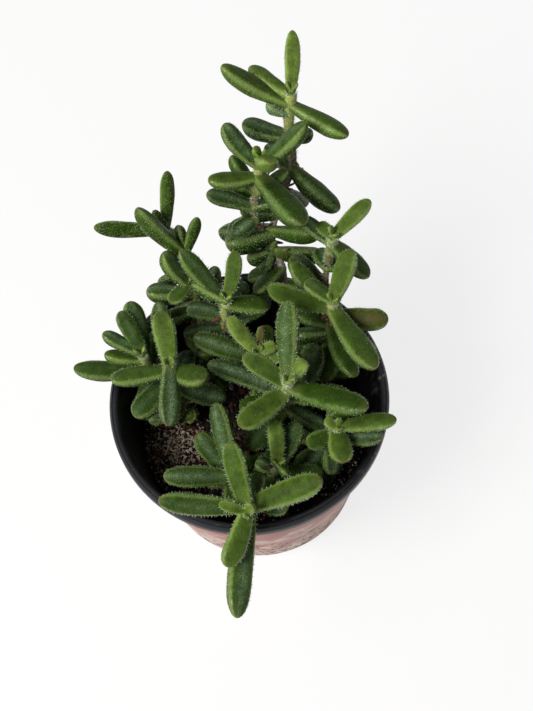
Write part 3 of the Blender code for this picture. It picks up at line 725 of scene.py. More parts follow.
class Leaf:
    """One leaf: where it grows, its size and its own small differences. Youth runs from 0, old, to 1.

    Its face, which is flat or a little hollow, looks along the stem's growth, and its keel is round."""

    def __init__(self, base, direction, length, width, growth, youth, chance):
        self.base = np.array(base, float)
        self.direction = np.array(direction, float)
        self.length = float(length)
        self.width = float(width)
        self.youth = youth
        facing = growth - self.direction * (growth @ self.direction)
        facing += (np.array([0, 0, 1.0]) - self.direction * self.direction[2]) * 0.25
        facing /= np.linalg.norm(facing) + 1e-9
        side = np.cross(facing, self.direction)
        roll = chance.normal(0, 0.30)
        self.side = side * math.cos(roll) + facing * math.sin(roll)
        self.upper = np.cross(self.direction, self.side)
        self.hollow = chance.uniform(-0.04, 0.15)
        self.squareness = chance.uniform(0.66, 0.88)
        self.sway = chance.normal(0, 0.022)
        self.phase = chance.uniform(0, 6.28, 4)
        self.tone = chance.uniform(0, 0.85)
        self.worn = 0.0
        self.fuzz = 0.0
        self.pointed = 0.0

    def skin(self, along, turn):
        """Points on the leaf's skin, at shares of its length and at angles round it.

        A quarter turn is the middle of its face.
        """
        bases, directions = self.base[None], self.direction[None]
        centre = axis_points(bases, directions, np.array([self.length]), along)[0]
        centre -= self.direction * (HEEL * (1 - along) ** 3)[:, None]
        centre += self.side * (self.sway * self.length * np.sin(np.pi * along))[:, None]
        swell = self.width / 2 * self.half_width(along)
        across, above = np.cos(turn), np.sin(turn)
        dip = self.hollow * np.exp(-((across / 0.5) ** 2)) * np.abs(above)
        face = np.abs(above) ** self.squareness * FACE_HEIGHT - dip
        height = np.where(above > 0, face, above * KEEL_DEPTH)
        lumps = 1 + 0.030 * np.sin(2 * turn + self.phase[0]) * np.sin(9 * along + self.phase[1])
        lumps += 0.022 * np.sin(5 * turn + self.phase[2]) * np.sin(19 * along + self.phase[3])
        offset = across[:, None] * self.side + height[:, None] * self.upper
        return centre + offset * (swell * lumps)[:, None]

    def half_width(self, along):
        """The half width at shares of the length, against the greatest."""
        rise = 0.54 + 0.46 * np.sin(np.pi / 2 * np.clip(along / 0.65, 0, 1)) ** 1.15
        past = np.clip((along - 0.65) / 0.35, 0, 1)
        fall = (1 - past**2.3) ** (0.50 + 0.04 * self.youth + self.pointed)
        return np.where(along < 0.65, rise, fall)

    def outward(self, along, turn):
        """Points on the skin as skin() gives them, and the directions straight out of it there."""
        small = 0.01
        points = self.skin(along, turn)
        lengthways = self.skin(along + small, turn) - self.skin(along - small, turn)
        round_it = self.skin(along, turn + small) - self.skin(along, turn - small)
        out = np.cross(round_it, lengthways)
        out /= np.linalg.norm(out, axis=1)[:, None] + 1e-9
        return points, out


def add_leaf(shape, leaf, marks, sides=LEAF_SIDES, rings=LEAF_RINGS):
    """Adds a leaf to a bmesh. Marks are its layers: place along the leaf, place round it from the keel, 0,
    past the edges, 0.5, to the middle of the face, 1, its youth and tone, and how worn it is."""
    made = bmesh.ops.create_uvsphere(shape, u_segments=sides, v_segments=rings, radius=1.0)["verts"]
    ball = np.array([vert.co for vert in made])
    ring = np.hypot(ball[:, 0], ball[:, 1])
    along = np.clip((ball[:, 2] + 1) / 2, 0, 1)
    turn = np.arctan2(ball[:, 1], ball[:, 0])
    skin = leaf.skin(along, turn)
    centre = leaf.skin(along, turn * 0 + np.pi) + leaf.skin(along, turn * 0)
    centre /= 2
    closing = np.where(along < 0.5, np.minimum(1, ring / 0.42), np.minimum(1, ring / 0.02))
    skin = centre + (skin - centre) * closing[:, None]
    for vert, point, share, angle in zip(made, skin, along, turn):
        vert.co = Vector(point) * MM
        vert[marks["along"]] = float(share)
        vert[marks["round"]] = 0.5 + math.asin(math.sin(angle)) / math.pi
        vert[marks["youth"]] = leaf.youth
        vert[marks["tone"]] = leaf.tone
        vert[marks["worn"]] = leaf.worn


def leaf_marks(shape):
    return {name: shape.verts.layers.float.new(name) for name in LEAF_MARKS}


def add_bristle(batch, point, direction, length, radius):
    """Adds one bristle, a thin three-sided cone, to a bmesh."""
    place = Matrix.Translation(Vector(point) * MM)
    place = place @ Vector(direction).to_track_quat("Z", "Y").to_matrix().to_4x4()
    place = place @ Matrix.Translation((0, 0, length * 0.44 * MM))
    bmesh.ops.create_cone(
        batch,
        cap_ends=True,
        cap_tris=True,
        segments=3,
        radius1=radius * MM,
        radius2=0,
        depth=length * MM,
        matrix=place,
    )


def add_leaf_bristles(shape, leaf, shortness, chance):
    """Adds a leaf's bristles to a bmesh: a row along each edge, longest near the base, and a few
    elsewhere."""
    rows = []
    for side in (0, 1):
        steps = np.arange(0.05, 0.975, BRISTLE_STEP / leaf.length)
        along = steps + chance.normal(0, 0.35 * BRISTLE_STEP / leaf.length, len(steps))
        turn = chance.normal(0.16, 0.11, len(steps))
        rows.append((along, turn if side else math.pi - turn, np.ones(len(steps))))
    area = leaf.length * leaf.width * 0.8 * math.pi / 100
    count = int(area * BRISTLES_PER_CM2 * (0.6 + 0.6 * leaf.youth + 3.5 * leaf.fuzz))
    face = chance.random(count) < 0.07 + 0.5 * leaf.fuzz
    turn = np.where(face, chance.uniform(0.3, 2.84, count), chance.uniform(-3.0, -0.14, count))
    rows.append((chance.uniform(0.04, 0.985, count), turn, np.full(count, 0.55)))
    along, turn, share = (np.concatenate(parts) for parts in zip(*rows))
    points, out = leaf.outward(np.clip(along, 0.03, 0.985), turn)
    lean = out + leaf.direction * (0.15 + 0.35 * along)[:, None] + chance.normal(0, 0.20, (len(along), 3))
    lengths = (0.52 + 0.26 * leaf.youth + 0.10 * leaf.fuzz) * chance.uniform(0.65, 1.3, len(along)) * share
    lengths *= (1.35 - 0.55 * along) * shortness
    batch = bmesh.new()
    for point, direction, length in zip(points, lean, lengths):
        add_bristle(batch, point, direction, length, BRISTLE_RADIUS * (0.70 + 0.55 * length))
    put_in(shape, batch)


# ---------------------------------------------------------------------------------------------------------
# Stems
# ---------------------------------------------------------------------------------------------------------


def add_stem(shape, curve, girth, nodes, marks, seed):
    """Adds a stem to a bmesh: a tube along its curve that swells at its leaf nodes and is rough below.

    Away from its tip it is slimmer than the solid stem.
    """
    total = length_of(curve)
    count = max(4, round((total - STEM_END + 1.2) / STEM_STEP))
    distances = np.linspace(total - 1e-3, STEM_END - 1.2, count + 1)
    previous = None
    for distance in distances:
        point, growth = below_tip(curve, distance)
        swelling = sum(math.exp(-(((distance - node) / 1.1) ** 2)) for node in nodes)
        slim = 1 - SLIMMING * min(max((distance - SLIM_FROM) / SLIM_OVER, 0), 1)
        radius = slim * fleshy_radius(distance, girth) * (1 + 0.22 * min(swelling, 1.0))
        turn = Vector(growth).to_track_quat("Z", "Y").to_matrix().to_4x4()
        place = Matrix.Translation(Vector(point) * MM) @ turn
        made = bmesh.ops.create_circle(shape, segments=STEM_SIDES, radius=radius * MM, matrix=place)["verts"]
        rough = 0.05 + 0.13 * min(distance / 45, 1)
        for vert in made:
            vert[marks["below"]] = distance
            out = vert.co - Vector(point) * MM
            vert.co += out * rough * noise.noise(vert.co * 900 + Vector((seed, 0, 0)))
        loop = list({edge for vert in made for edge in vert.link_edges})
        if previous:
            bmesh.ops.bridge_loops(shape, edges=previous + loop)
        previous = loop
    ends = [edge for edge in shape.edges if edge.is_boundary]
    bmesh.ops.holes_fill(shape, edges=ends, sides=STEM_SIDES)


def add_stem_hairs(shape, curve, girth, chance):
    """Adds the fine hairs of a stem's young end to a bmesh, most of them near its tip."""
    batch = bmesh.new()
    for distance in 1.0 + STEM_HAIR_REACH * chance.random(STEM_HAIRS) ** 1.6:
        point, growth = below_tip(curve, distance)
        aside = np.cross(growth, chance.normal(0, 1, 3))
        aside /= np.linalg.norm(aside)
        radius = fleshy_radius(distance, girth)
        root = point + aside * radius * 0.95
        add_bristle(batch, root, aside + growth * 0.2, chance.uniform(0.5, 1.15), 0.075)
    put_in(shape, batch)


def add_shred(shape, point, direction, length, width, chance):
    """Adds a dry shred of old leaf or sheath to a bmesh: a thin curled strip."""
    batch = bmesh.new()
    bmesh.ops.create_grid(batch, x_segments=3, y_segments=6, size=0.5)
    curl = chance.uniform(0.3, 0.9)
    twist = chance.normal(0, 0.8)
    for vert in batch.verts:
        share = vert.co.y + 0.5
        taper = 1 - 0.75 * share**2
        x, z = vert.co.x * width * taper, curl * width * (vert.co.x * 2) ** 2 * 0.5
        angle = twist * share
        vert.co = (
            x * math.cos(angle) - z * math.sin(angle),
            x * math.sin(angle) + z * math.cos(angle) + curl * length * 0.4 * share**2,
            share * length,
        )
    bmesh.ops.solidify(batch, geom=batch.faces, thickness=0.16)
    turn = Vector(direction).to_track_quat("Z", "Y").to_matrix().to_4x4()
    roll = Matrix.Rotation(chance.uniform(0, 6.28), 4, "Z")
    place = Matrix.Translation(Vector(point) * MM) @ turn @ roll @ Matrix.Scale(MM, 4)
    bmesh.ops.transform(batch, matrix=place, verts=batch.verts)
    bmesh.ops.recalc_face_normals(batch, faces=batch.faces)
    put_in(shape, batch)


# ---------------------------------------------------------------------------------------------------------
# Pot and soil
# ---------------------------------------------------------------------------------------------------------


def spun(profile, sides):
    """A closed bmesh turned about the Z axis from a profile of (radius, height) in millimetres."""
    shape = bmesh.new()
    line = [shape.verts.new((radius * MM, 0, height * MM)) for radius, height in profile]
    edges = [shape.edges.new(pair) for pair in zip(line, line[1:])]
    bmesh.ops.spin(
        shape,
        geom=line + edges,
        axis=(0, 0, 1),
        cent=(0, 0, 0),
        angle=2 * math.pi,
        steps=sides,
        use_merge=True,
    )
    bmesh.ops.remove_doubles(shape, verts=shape.verts, dist=1e-6)
    bmesh.ops.recalc_face_normals(shape, faces=shape.faces)
    return shape


def pot_profile():
    """The pot's cut shape, from the middle of its underside out, up and back down inside."""
    rim_low = POT_HEIGHT - RIM_HEIGHT
    lean = (POT_TOP_RADIUS - POT_BASE_RADIUS) / rim_low
    outside = [(POT_BASE_RADIUS + lean * z, z) for z in (1.2, 3, 8, 16, 24, 32, 40, 48, 55, rim_low - 0.3)]
    inside = [(POT_BASE_RADIUS + lean * z - POT_WALL, z) for z in (57, 50, 42, 36, 30, 20, 10, 3.5)]
    return [
        (0, 0.25),
        (18.0, 0.25),
        (19.0, 0.0),
        (POT_BASE_RADIUS - 1.6, 0.0),
        (POT_BASE_RADIUS - 0.6, 0.25),
        *outside,
        (POT_TOP_RADIUS + 0.1, rim_low),
        (RIM_RADIUS - 0.7, rim_low),
        (RIM_RADIUS - 0.2, rim_low + 0.2),
        (RIM_RADIUS, rim_low + 0.7),
        (RIM_RADIUS, POT_HEIGHT - 1.7),
        (RIM_RADIUS - 0.05, POT_HEIGHT - 1.1),
        (RIM_RADIUS - 0.35, POT_HEIGHT - 0.5),
        (RIM_RADIUS - 0.80, POT_HEIGHT - 0.10),
        (RIM_RADIUS - 0.92, POT_HEIGHT - 0.45),
        (RIM_RADIUS - 1.20, POT_HEIGHT - 0.45),
        (RIM_RADIUS - 1.32, POT_HEIGHT - 0.02),
        (RIM_RADIUS - 1.50, POT_HEIGHT),
        (RIM_RADIUS - 2.0, POT_HEIGHT - 0.12),
        (RIM_MOUTH_RADIUS + 0.35, POT_HEIGHT - 0.4),
        (RIM_MOUTH_RADIUS + 0.05, POT_HEIGHT - 1.0),
        (POT_TOP_RADIUS - POT_WALL, rim_low),
        *inside,
        (POT_BASE_RADIUS - 1.6, 1.4),
        (POT_BASE_RADIUS - 2.6, POT_WALL),
        (0, POT_WALL),
    ]


def add_pot(outside, inside):
    """The pot, with its drainage holes. Its rim and inner side have the inside's finish."""
    shape = spun(pot_profile(), 120)
    wall_side = POT_TOP_RADIUS - POT_BASE_RADIUS
    for face in shape.faces:
        middle = face.calc_center_median() / MM
        across = math.hypot(middle.x, middle.y)
        skin = POT_BASE_RADIUS + wall_side * middle.z / (POT_HEIGHT - RIM_HEIGHT) - POT_WALL / 2
        under = middle.z < 0.6
        wall = across > skin and middle.z < POT_HEIGHT - RIM_HEIGHT - 0.2
        face.material_index = 0 if under or wall else 1
    pot = new_piece("pot_shell", shape, [outside, inside], ["pot"])
    holes = bmesh.new()
    for i in range(DRAIN_HOLES):
        angle = 2 * math.pi * (i + 0.5) / DRAIN_HOLES
        place = Matrix.Translation(
            (DRAIN_CIRCLE * math.cos(angle) * MM, DRAIN_CIRCLE * math.sin(angle) * MM, 0)
        )
        bmesh.ops.create_cone(
            holes,
            cap_ends=True,
            segments=24,
            radius1=DRAIN_RADIUS * MM,
            radius2=DRAIN_RADIUS * MM,
            depth=0.004,
            matrix=place,
        )
    mesh = bpy.data.meshes.new("drain_holes")
    holes.to_mesh(mesh)
    holes.free()
    cutter = bpy.data.objects.new("drain_holes", mesh)
    scene.collection.objects.link(cutter)
    cut = pot.modifiers.new("drain", "BOOLEAN")
    cut.operation = "DIFFERENCE"
    cut.object = cutter
    graph = bpy.context.evaluated_depsgraph_get()
    made = bpy.data.meshes.new_from_object(pot.evaluated_get(graph))
    pot.modifiers.clear()
    pot.data = made
    made.set_sharp_from_angle(angle=math.radians(40))
    bpy.data.objects.remove(cutter, do_unlink=True)


def soil_lump(x, y):
    """How far the soil's surface stands above its mean height, in millimetres."""
    place = Vector((x, y, 3.1))
    lumps = 0.9 * noise.noise(place * 0.10) + 0.75 * noise.noise(place * 0.33)
    lumps += 0.45 * noise.noise(place * 0.9) + 0.22 * noise.noise(place * 2.1)
    return lumps + 1.0 - (x * x + y * y) / 1500


def add_soil(finish):
    """The soil's body, with a lumpy surface."""
    lean = (POT_TOP_RADIUS - POT_BASE_RADIUS) / (POT_HEIGHT - RIM_HEIGHT)
    low_radius = POT_BASE_RADIUS + lean * 3 - POT_WALL - 0.5
    edge = POT_BASE_RADIUS + lean * SOIL_HEIGHT - POT_WALL - 0.25
    radii = np.linspace(edge, 0, 44)
    profile = [(0, 1.4), (POT_BASE_RADIUS - 3.4, 1.4), (low_radius, 3.2), (edge - 0.1, SOIL_HEIGHT - 1.5)]
    profile += [(float(radius), SOIL_HEIGHT) for radius in radii]
    shape = spun(profile, 150)
    for vert in shape.verts:
        if vert.co.z / MM > SOIL_HEIGHT - 0.1:
            vert.co.z += soil_lump(vert.co.x / MM, vert.co.y / MM) * MM
    return new_piece("potting_soil", shape, [finish], ["soil"])


def scatter_lumps(places, sizes, flatness, chance):
    """A bmesh of small uneven lumps at places on the soil, each of its own size and turn."""
    shape = bmesh.new()
    for start in range(0, len(places), LUMPS_AT_ONCE):
        batch = bmesh.new()
        end = start + LUMPS_AT_ONCE
        for (x, y, lift), size in zip(places[start:end], sizes[start:end]):
            turn = Matrix.Rotation(chance.uniform(0, 6.28), 4, Vector(chance.normal(0, 1, 3)).normalized())
            shrink = Matrix.Diagonal((*(chance.uniform(0.65, 1.0, 2)), chance.uniform(*flatness), 1))
            height = SOIL_HEIGHT + soil_lump(x, y) + lift
            place = Matrix.Translation(Vector((x, y, height)) * MM) @ turn @ shrink
            made = bmesh.ops.create_icosphere(batch, subdivisions=1, radius=size * MM, matrix=place)
            centre = Vector((x, y, height)) * MM
            for vert in made["verts"]:
                vert.co += (vert.co - centre) * chance.uniform(-0.22, 0.22)
        put_in(shape, batch)
    return shape


def soil_places(count, chance, centre=(0, 0), spread=None, inset=0.8):
    """Random places on the soil, either all over it or in a patch of a given spread."""
    found = []
    most = POT_BASE_RADIUS + 0.135 * SOIL_HEIGHT - POT_WALL - inset
    while len(found) < count:
        if spread:
            x, y = chance.normal(centre[0], spread[0]), chance.normal(centre[1], spread[1])
        else:
            x, y = chance.uniform(-most, most, 2)
        if math.hypot(x, y) < most:
            found.append((x, y))
    return found


# ---------------------------------------------------------------------------------------------------------
# Materials
# ---------------------------------------------------------------------------------------------------------


def leaf_skin():
    """Fleshy leaf skin: a satin green cuticle with painted shade on the face and flanks, painted highlights
    and paler margins on the ridges, water cells partly painted as glints, wax with a painted sheen, and a
    little light inside."""
    made, add = new_material("fleshy_leaf_skin")
    place = add("TexCoord", output="Object")
    marks = [add("Attribute", output="Fac", attribute_name=name) for name in LEAF_MARKS]
    along, around, youth, tone, worn = marks

    old = add("ValToRGB", [tone], stops=[(0.0, "1d3407"), (0.5, "2a4706"), (1.0, "40600a")])
    young = add("ValToRGB", [tone], stops=[(0.0, "385411"), (0.5, "4e6c16"), (1.0, "84a044")])
    flesh = add("Mix", [youth, old, young], data_type="RGBA")
    # Blotches of about 3 mm, and a mottle of about 1 mm.
    blotch = add("TexNoise", [place, 330.0, 4.0])
    mottle = add("TexNoise", [place, 1000.0])
    blotched = add("MapRange", [blotch, 0.3, 0.7, 0.66, 1.34])
    mottled = add("MapRange", [mottle, 0.3, 0.7, 0.84, 1.16])
    uneven = add("Math", [blotched, mottled], operation="MULTIPLY")
    colour = add("Mix", [1.0, flesh, uneven], data_type="RGBA", blend_type="MULTIPLY")
    # Painted shade: the face and the flanks are darker than the ridges between them, as shade would fall on
    # them.
    stops = [(0.2, 0.50), (0.46, 0.66), (0.62, 1.0), (0.76, 0.66), (1.0, 0.46)]
    painted_flank_shade = add("ValToRGB", [around], stops=stops)
    colour = add("Mix", [1.0, colour, painted_flank_shade], data_type="RGBA", blend_type="MULTIPLY")
    # The ridges are painted pale: partly their own paler, translucent margin, partly a painted highlight,
    # more on young leaves.
    ridge_highlight = add("ValToRGB", [around], stops=[(0.46, 0.0), (0.58, 0.46), (0.66, 0.46), (0.76, 0.0)])
    ridge_highlight = add("Math", [ridge_highlight, add("MapRange", [youth, 0.0, 0.8, 0.45, 1.0])], operation="MULTIPLY")
    colour = add("Mix", [ridge_highlight, colour, "8ea35a"], data_type="RGBA")
    heel = add("MapRange", [along, 0.0, 0.26, 0.50, 0.0])
    colour = add("Mix", [heel, colour, "85934a"], data_type="RGBA")
    # An ageing leaf browns along its middle, and its tip dries a little.
    brown = add("Math", [worn, add("MapRange", [around, 0.60, 0.92, 0.08, 1.0])], operation="MULTIPLY")
    withered = add("ValToRGB", [blotch], stops=[(0.35, "5b5a2e"), (0.68, "6a4430")])
    colour = add("Mix", [brown, colour, withered], data_type="RGBA")
    tip = add("MapRange", [along, 0.90, 1.0, 0.0, 0.30])
    colour = add("Mix", [tip, colour, "767540"], data_type="RGBA")

    # The middle of the face is pale grey-green in streaks of specks, more of it on dull leaves: partly fine
    # wax and partly a painted sheen of reflected light. A tone below 0 has it all over.
    grain = add("TexNoise", [place, 2300.0])
    wax_and_sheen_at = add("ValToRGB", [around], stops=[(0.76, 0.0), (0.88, 0.45), (1.0, 1.0)])
    all_over = add("MapRange", [tone, -0.5, 0.0, 1.0, 0.0])
    wax_and_sheen = add("Math", [wax_and_sheen_at, all_over], operation="MAXIMUM")
    for value, low, high, to_low, to_high in (
        (tone, 0.10, 0.62, 0.85, 0.06),
        (grain, 0.40, 0.64, 0.35, 1.0),
        (blotch, 0.34, 0.60, 0.50, 1.0),
        (along, 0.10, 0.35, 0.3, 1.0),
    ):
        share = add("MapRange", [value, low, high, to_low, to_high])
        wax_and_sheen = add("Math", [wax_and_sheen, share], operation="MULTIPLY")
    colour = add("Mix", [wax_and_sheen, colour, "839f74"], data_type="RGBA")

    # Water cells 0.3 mm wide and 0.5 mm apart: raised pale dots in patches, the brighter ones on the ridges
    # and the keel, where their pale colour is partly their own and partly painted glints.
    dots = add("TexVoronoi", {"Vector": place, "Scale": 2000.0, "Randomness": 0.6}, output="Distance")
    dot = add("MapRange", [dots, 0.44, 0.20])
    lot = add("SeparateColor", [dots.node.outputs["Color"]], output="Red")
    pale_dot_glints = add("Math", [dot, add("MapRange", [lot, 0.10, 0.95, 0.30, 0.95])], operation="MULTIPLY")
    stops = [(0.30, 0.85), (0.50, 0.90), (0.60, 1.0), (0.70, 0.80), (0.84, 0.20)]
    dot_glint_at = add("ValToRGB", [around], stops=stops)
    pale_dot_glints = add("Math", [pale_dot_glints, dot_glint_at], operation="MULTIPLY")
    patch = add("TexNoise", [place, 210.0, 1.0])
    for value, low, high, to_low, to_high in (
        (patch, 0.36, 0.58, 0.40, 1.0),
        (youth, 0.1, 0.9, 0.95, 0.72),
        (tone, 0.45, 0.85, 1.0, 0.55),
    ):
        share = add("MapRange", [value, low, high, to_low, to_high])
        pale_dot_glints = add("Math", [pale_dot_glints, share], operation="MULTIPLY")
    colour = add("Mix", [pale_dot_glints, colour, "a8c486"], data_type="RGBA")
    height = add("Math", [grain, 0.8, dot], operation="MULTIPLY_ADD")

    # The ridges shine in patches, as if damp.
    damp = add("ValToRGB", [around], stops=[(0.44, 0.0), (0.58, 0.75), (0.70, 0.75), (0.82, 0.0)])
    damp = add("Math", [damp, add("MapRange", [mottle, 0.42, 0.56])], operation="MULTIPLY")
    gloss = add("Math", [pale_dot_glints, add("Math", [wax_and_sheen, 0.35], operation="MULTIPLY")], operation="MAXIMUM")
    gloss = add("Math", [gloss, damp], operation="MAXIMUM")
    return finish_shader(
        made,
        colour,
        height,
        (0.85, 0.00016),
        Roughness=add("MapRange", [gloss, 0.0, 1.0, 0.38, 0.25]),
        Specular_IOR_Level=add("MapRange", [gloss, 0.0, 1.0, 0.05, 0.50]),
        IOR=1.45,
        Subsurface_Weight=0.10,
        Subsurface_Radius=(0.8, 1.3, 0.35),
        Subsurface_Scale=0.0010,
    )


def bristle_hair():
    """Leaf bristles: thin glassy hairs that look white against the green."""
    made, add = new_material("glassy_leaf_hair")
    patch = add("TexNoise", [add("TexCoord", output="Object"), 300.0])
    colour = add("ValToRGB", [patch], stops=[(0.3, "b0c28f"), (0.7, "e4ebd5")])
    values = {"Roughness": 0.35, "IOR": 1.45, "Subsurface_Weight": 0.3, "Subsurface_Scale": 0.0006}
    return finish_shader(made, colour, patch, (0.05, 0.0001), **values)


def stem_bark():
    """Stem bark: green and soft near the tip, then brown, then grey and corky with cracks and scurf."""
    made, add = new_material("succulent_stem_bark")
    place = add("TexCoord", output="Object")
    below = add("Attribute", output="Fac", attribute_name="below")
    shifted = add("Math", [add("TexNoise", [place, 260.0, 4.0]), 22.0, below], operation="MULTIPLY_ADD")
    age = add("MapRange", [shifted, 8.0, 75.0])
    stops = [(0.0, "a8b562"), (0.16, "98a252"), (0.30, "716a44")]
    stops += [(0.42, "695b47"), (0.62, "766e61"), (1.0, "8d867a")]
    bark = add("ValToRGB", [age], stops=stops)
    cracks = {"Vector": place, "Scale": 900.0}
    cracks = add("TexVoronoi", cracks, output="Distance", feature="DISTANCE_TO_EDGE")
    crack = add("MapRange", [cracks, 0.0, 0.12, 0.45, 1.0])
    colour = add("Mix", [0.7, bark, crack], data_type="RGBA", blend_type="MULTIPLY")
    scurf = add("MapRange", [add("TexNoise", [place, 1300.0, 3.0]), 0.50, 0.62, 0.0, 0.65])
    scurf = add("Math", [scurf, add("MapRange", [age, 0.25, 0.5])], operation="MULTIPLY")
    colour = add("Mix", [scurf, colour, "c0b9ab"], data_type="RGBA")
    return finish_shader(made, colour, crack, (0.6, 0.0002), Roughness=0.75, Specular_IOR_Level=0.3)


def dry_matter():
    """Dry leaf remains: papery, curled, red-brown to straw."""
    made, add = new_material("dry_leaf_shreds")
    place = add("TexCoord", output="Object")
    stops = [(0.30, "2a1a13"), (0.48, "523325"), (0.62, "77533b"), (0.78, "ab9375")]
    colour = add("ValToRGB", [add("TexNoise", [place, 150.0, 4.0])], stops=stops)
    fibre = add("TexNoise", [place, 1800.0, 3.0])
    return finish_shader(made, colour, fibre, (0.5, 0.0002), Roughness=0.85, Specular_IOR_Level=0.3)


def humus():
    """Moist peaty humus: near black with brown fibres and small pale specks."""
    made, add = new_material("moist_peat_humus")
    clods = add("TexNoise", [add("TexCoord", output="Object"), 420.0, 6.0, 0.7])
    stops = [(0.35, "080706"), (0.52, "191310"), (0.66, "33271f"), (0.8, "574636")]
    colour = add("ValToRGB", [clods], stops=stops)
    return finish_shader(made, colour, clods, (0.9, 0.0006), Roughness=0.92, Specular_IOR_Level=0.15)


def grit(name, dark, middle, pale):
    """Soil particles of one kind, each patch of about 1 mm with a colour of its own, rough and dusty."""
    made, add = new_material(name)
    place = add("TexCoord", output="Object")
    patch = add("TexVoronoi", {"Vector": place, "Scale": 700.0}, output="Color")
    lot = add("SeparateColor", [patch], output="Red")
    colour = add("ValToRGB", [lot], stops=[(0.0, dark), (0.5, middle), (1.0, pale)])
    pits = add("TexNoise", [place, 3000.0])
    return finish_shader(made, colour, pits, (0.5, 0.0002), Roughness=0.9, Specular_IOR_Level=0.2)


def terracotta_plastic():
    """Thin polypropylene coloured like terracotta, with lime scale on it and dried mud at its foot."""
    made, add = new_material("terracotta_polypropylene")
    place = add("TexCoord", output="Object")
    height = add("SeparateXYZ", [place], output="Z")
    base = add("TexNoise", [place, 90.0, 5.0])
    clay = add("ValToRGB", [base], stops=[(0.3, "94544a"), (0.5, "a4645a"), (0.7, "b0756a")])
    # Lime scale lies in ragged patches of a few millimetres, and leaves the top of the wall clear.
    scale = add("TexNoise", [place, 120.0, 9.0, 0.66])
    scale = add("Math", [scale, add("MapRange", [height, 0.028, 0.046, 0.06, -0.16])], operation="ADD")
    chalk = add("MapRange", [scale, 0.46, 0.60, 0.0, 0.86])
    lime = add("ValToRGB", [base], stops=[(0.3, "c9b1a7"), (0.7, "ded3cc")])
    colour = add("Mix", [chalk, clay, lime], data_type="RGBA")
    # Mud has run down the wall in short drips about 1 mm wide, most of them near its foot.
    tall = add("Mapping", {"Vector": place, "Scale": (1.0, 1.0, 0.6)})
    splash = add("TexNoise", [tall, 620.0, 5.0, 0.6])
    splash = add("Math", [splash, add("MapRange", [height, 0.001, 0.036, 0.13, -0.05])], operation="ADD")
    mud = add("MapRange", [splash, 0.61, 0.68, 0.0, 0.75])
    colour = add("Mix", [mud, colour, "5c473b"], data_type="RGBA")
    crust = add("Math", [chalk, mud], operation="ADD")
    rough = add("MapRange", [crust, 0.0, 1.0, 0.48, 0.85])
    return finish_shader(made, colour, crust, (0.4, 0.0002), Roughness=rough, Specular_IOR_Level=0.35)


def black_plastic():
    """The pot's black inner layer and rim: smooth polypropylene with a faint film, dust and dried drops."""
    made, add = new_material("black_polypropylene")
    place = add("TexCoord", output="Object")
    film = add("TexNoise", [place, 60.0, 3.0])
    black = add("ValToRGB", [film], stops=[(0.35, "0f0f12"), (0.7, "1f2025")])
    dust = add("MapRange", [add("TexNoise", [place, 700.0, 4.0]), 0.63, 0.74, 0.0, 0.45])
    colour = add("Mix", [dust, black, "655c52"], data_type="RGBA")
    # Water has dried in a few pale runs on the right side.
    tall = add("Mapping", {"Vector": place, "Scale": (1.0, 1.0, 0.25)})
    runs = add("MapRange", [add("TexNoise", [tall, 420.0, 3.0]), 0.60, 0.68, 0.0, 0.42])
    right = add("MapRange", [add("SeparateXYZ", [place], output="X"), 0.026, 0.038])
    runs = add("Math", [runs, right], operation="MULTIPLY")
    colour = add("Mix", [runs, colour, "9b9b97"], data_type="RGBA")
    values = {"Roughness": add("MapRange", [film, 0.3, 0.7, 0.34, 0.50]), "IOR": 1.49}
    return finish_shader(made, colour, film, (0.15, 0.0002), Specular_IOR_Level=0.30, **values)


# ---------------------------------------------------------------------------------------------------------
# The plant
# ---------------------------------------------------------------------------------------------------------


def youth_of(distance):
    """A leaf's youth from its pair's distance below the tip: 0.95 at the tip, and 0 from about 14 mm down."""
    return float(np.clip(0.95 - distance / 15, 0.0, 1.0))


class Foliage:
    """All leaves, by the piece that they are part of, and with their bristles' share by their plant."""

    def __init__(self):
        self.pieces = {}
        self.plants = {}

    def take(self, leaf, piece, plant, share=1.0, look=()):
        """Takes in a leaf, after a few of its values are changed to those of its look."""
        for name, value in dict(look).items():
            setattr(leaf, name, value)
        self.pieces.setdefault(piece, []).append(leaf)
        self.plants.setdefault(plant, []).append((leaf, share))


def grow_leaves(foliage, chance):
    """The leaves of the pairs and the low ones. A low leaf that reaches too far into another is left out."""
    upper, solids = read_shoots(lambda shoot, pairs: pairs)
    upper_ways, _ = settle_leaves(upper, solids)
    upper = [(leaf[0], way, *leaf[2:]) for leaf, way in zip(upper, upper_ways)]
    lower, _ = read_shoots(lambda shoot, pairs: UNDERGROWTH.get(shoot, []))
    lower = [(*leaf[:4], "under_" + leaf[4], *leaf[5:]) for leaf in lower]
    ways, depths = settle_leaves(upper + lower, solids, fixed=len(upper))

    places = {}
    for index, (leaf, way) in enumerate(zip(upper + lower, ways)):
        base, _, length, width, piece, plant, growth, distance = leaf
        low = index >= len(upper)
        if low and depths[index] > DEEPEST_OVERLAP:
            continue
        youth = LOW_LEAF_YOUTH if low else youth_of(distance)
        youth = float(np.clip(youth + chance.normal(0, 0.08), 0, 1))
        made = Leaf(base, way, length, width, growth, youth, chance)
        shoot = re.sub("^under_|_rosette$|_pair_[0-9]+$", "", piece)
        share = BRISTLE_SHARES.get(shoot, 1.0)
        if low:
            foliage.take(made, f"undergrowth_{plant}", plant, share)
        else:
            place = places[shoot] = places.get(shoot, -1) + 1
            foliage.take(made, piece, plant, share, LEAF_LOOKS.get((shoot, place), {}))


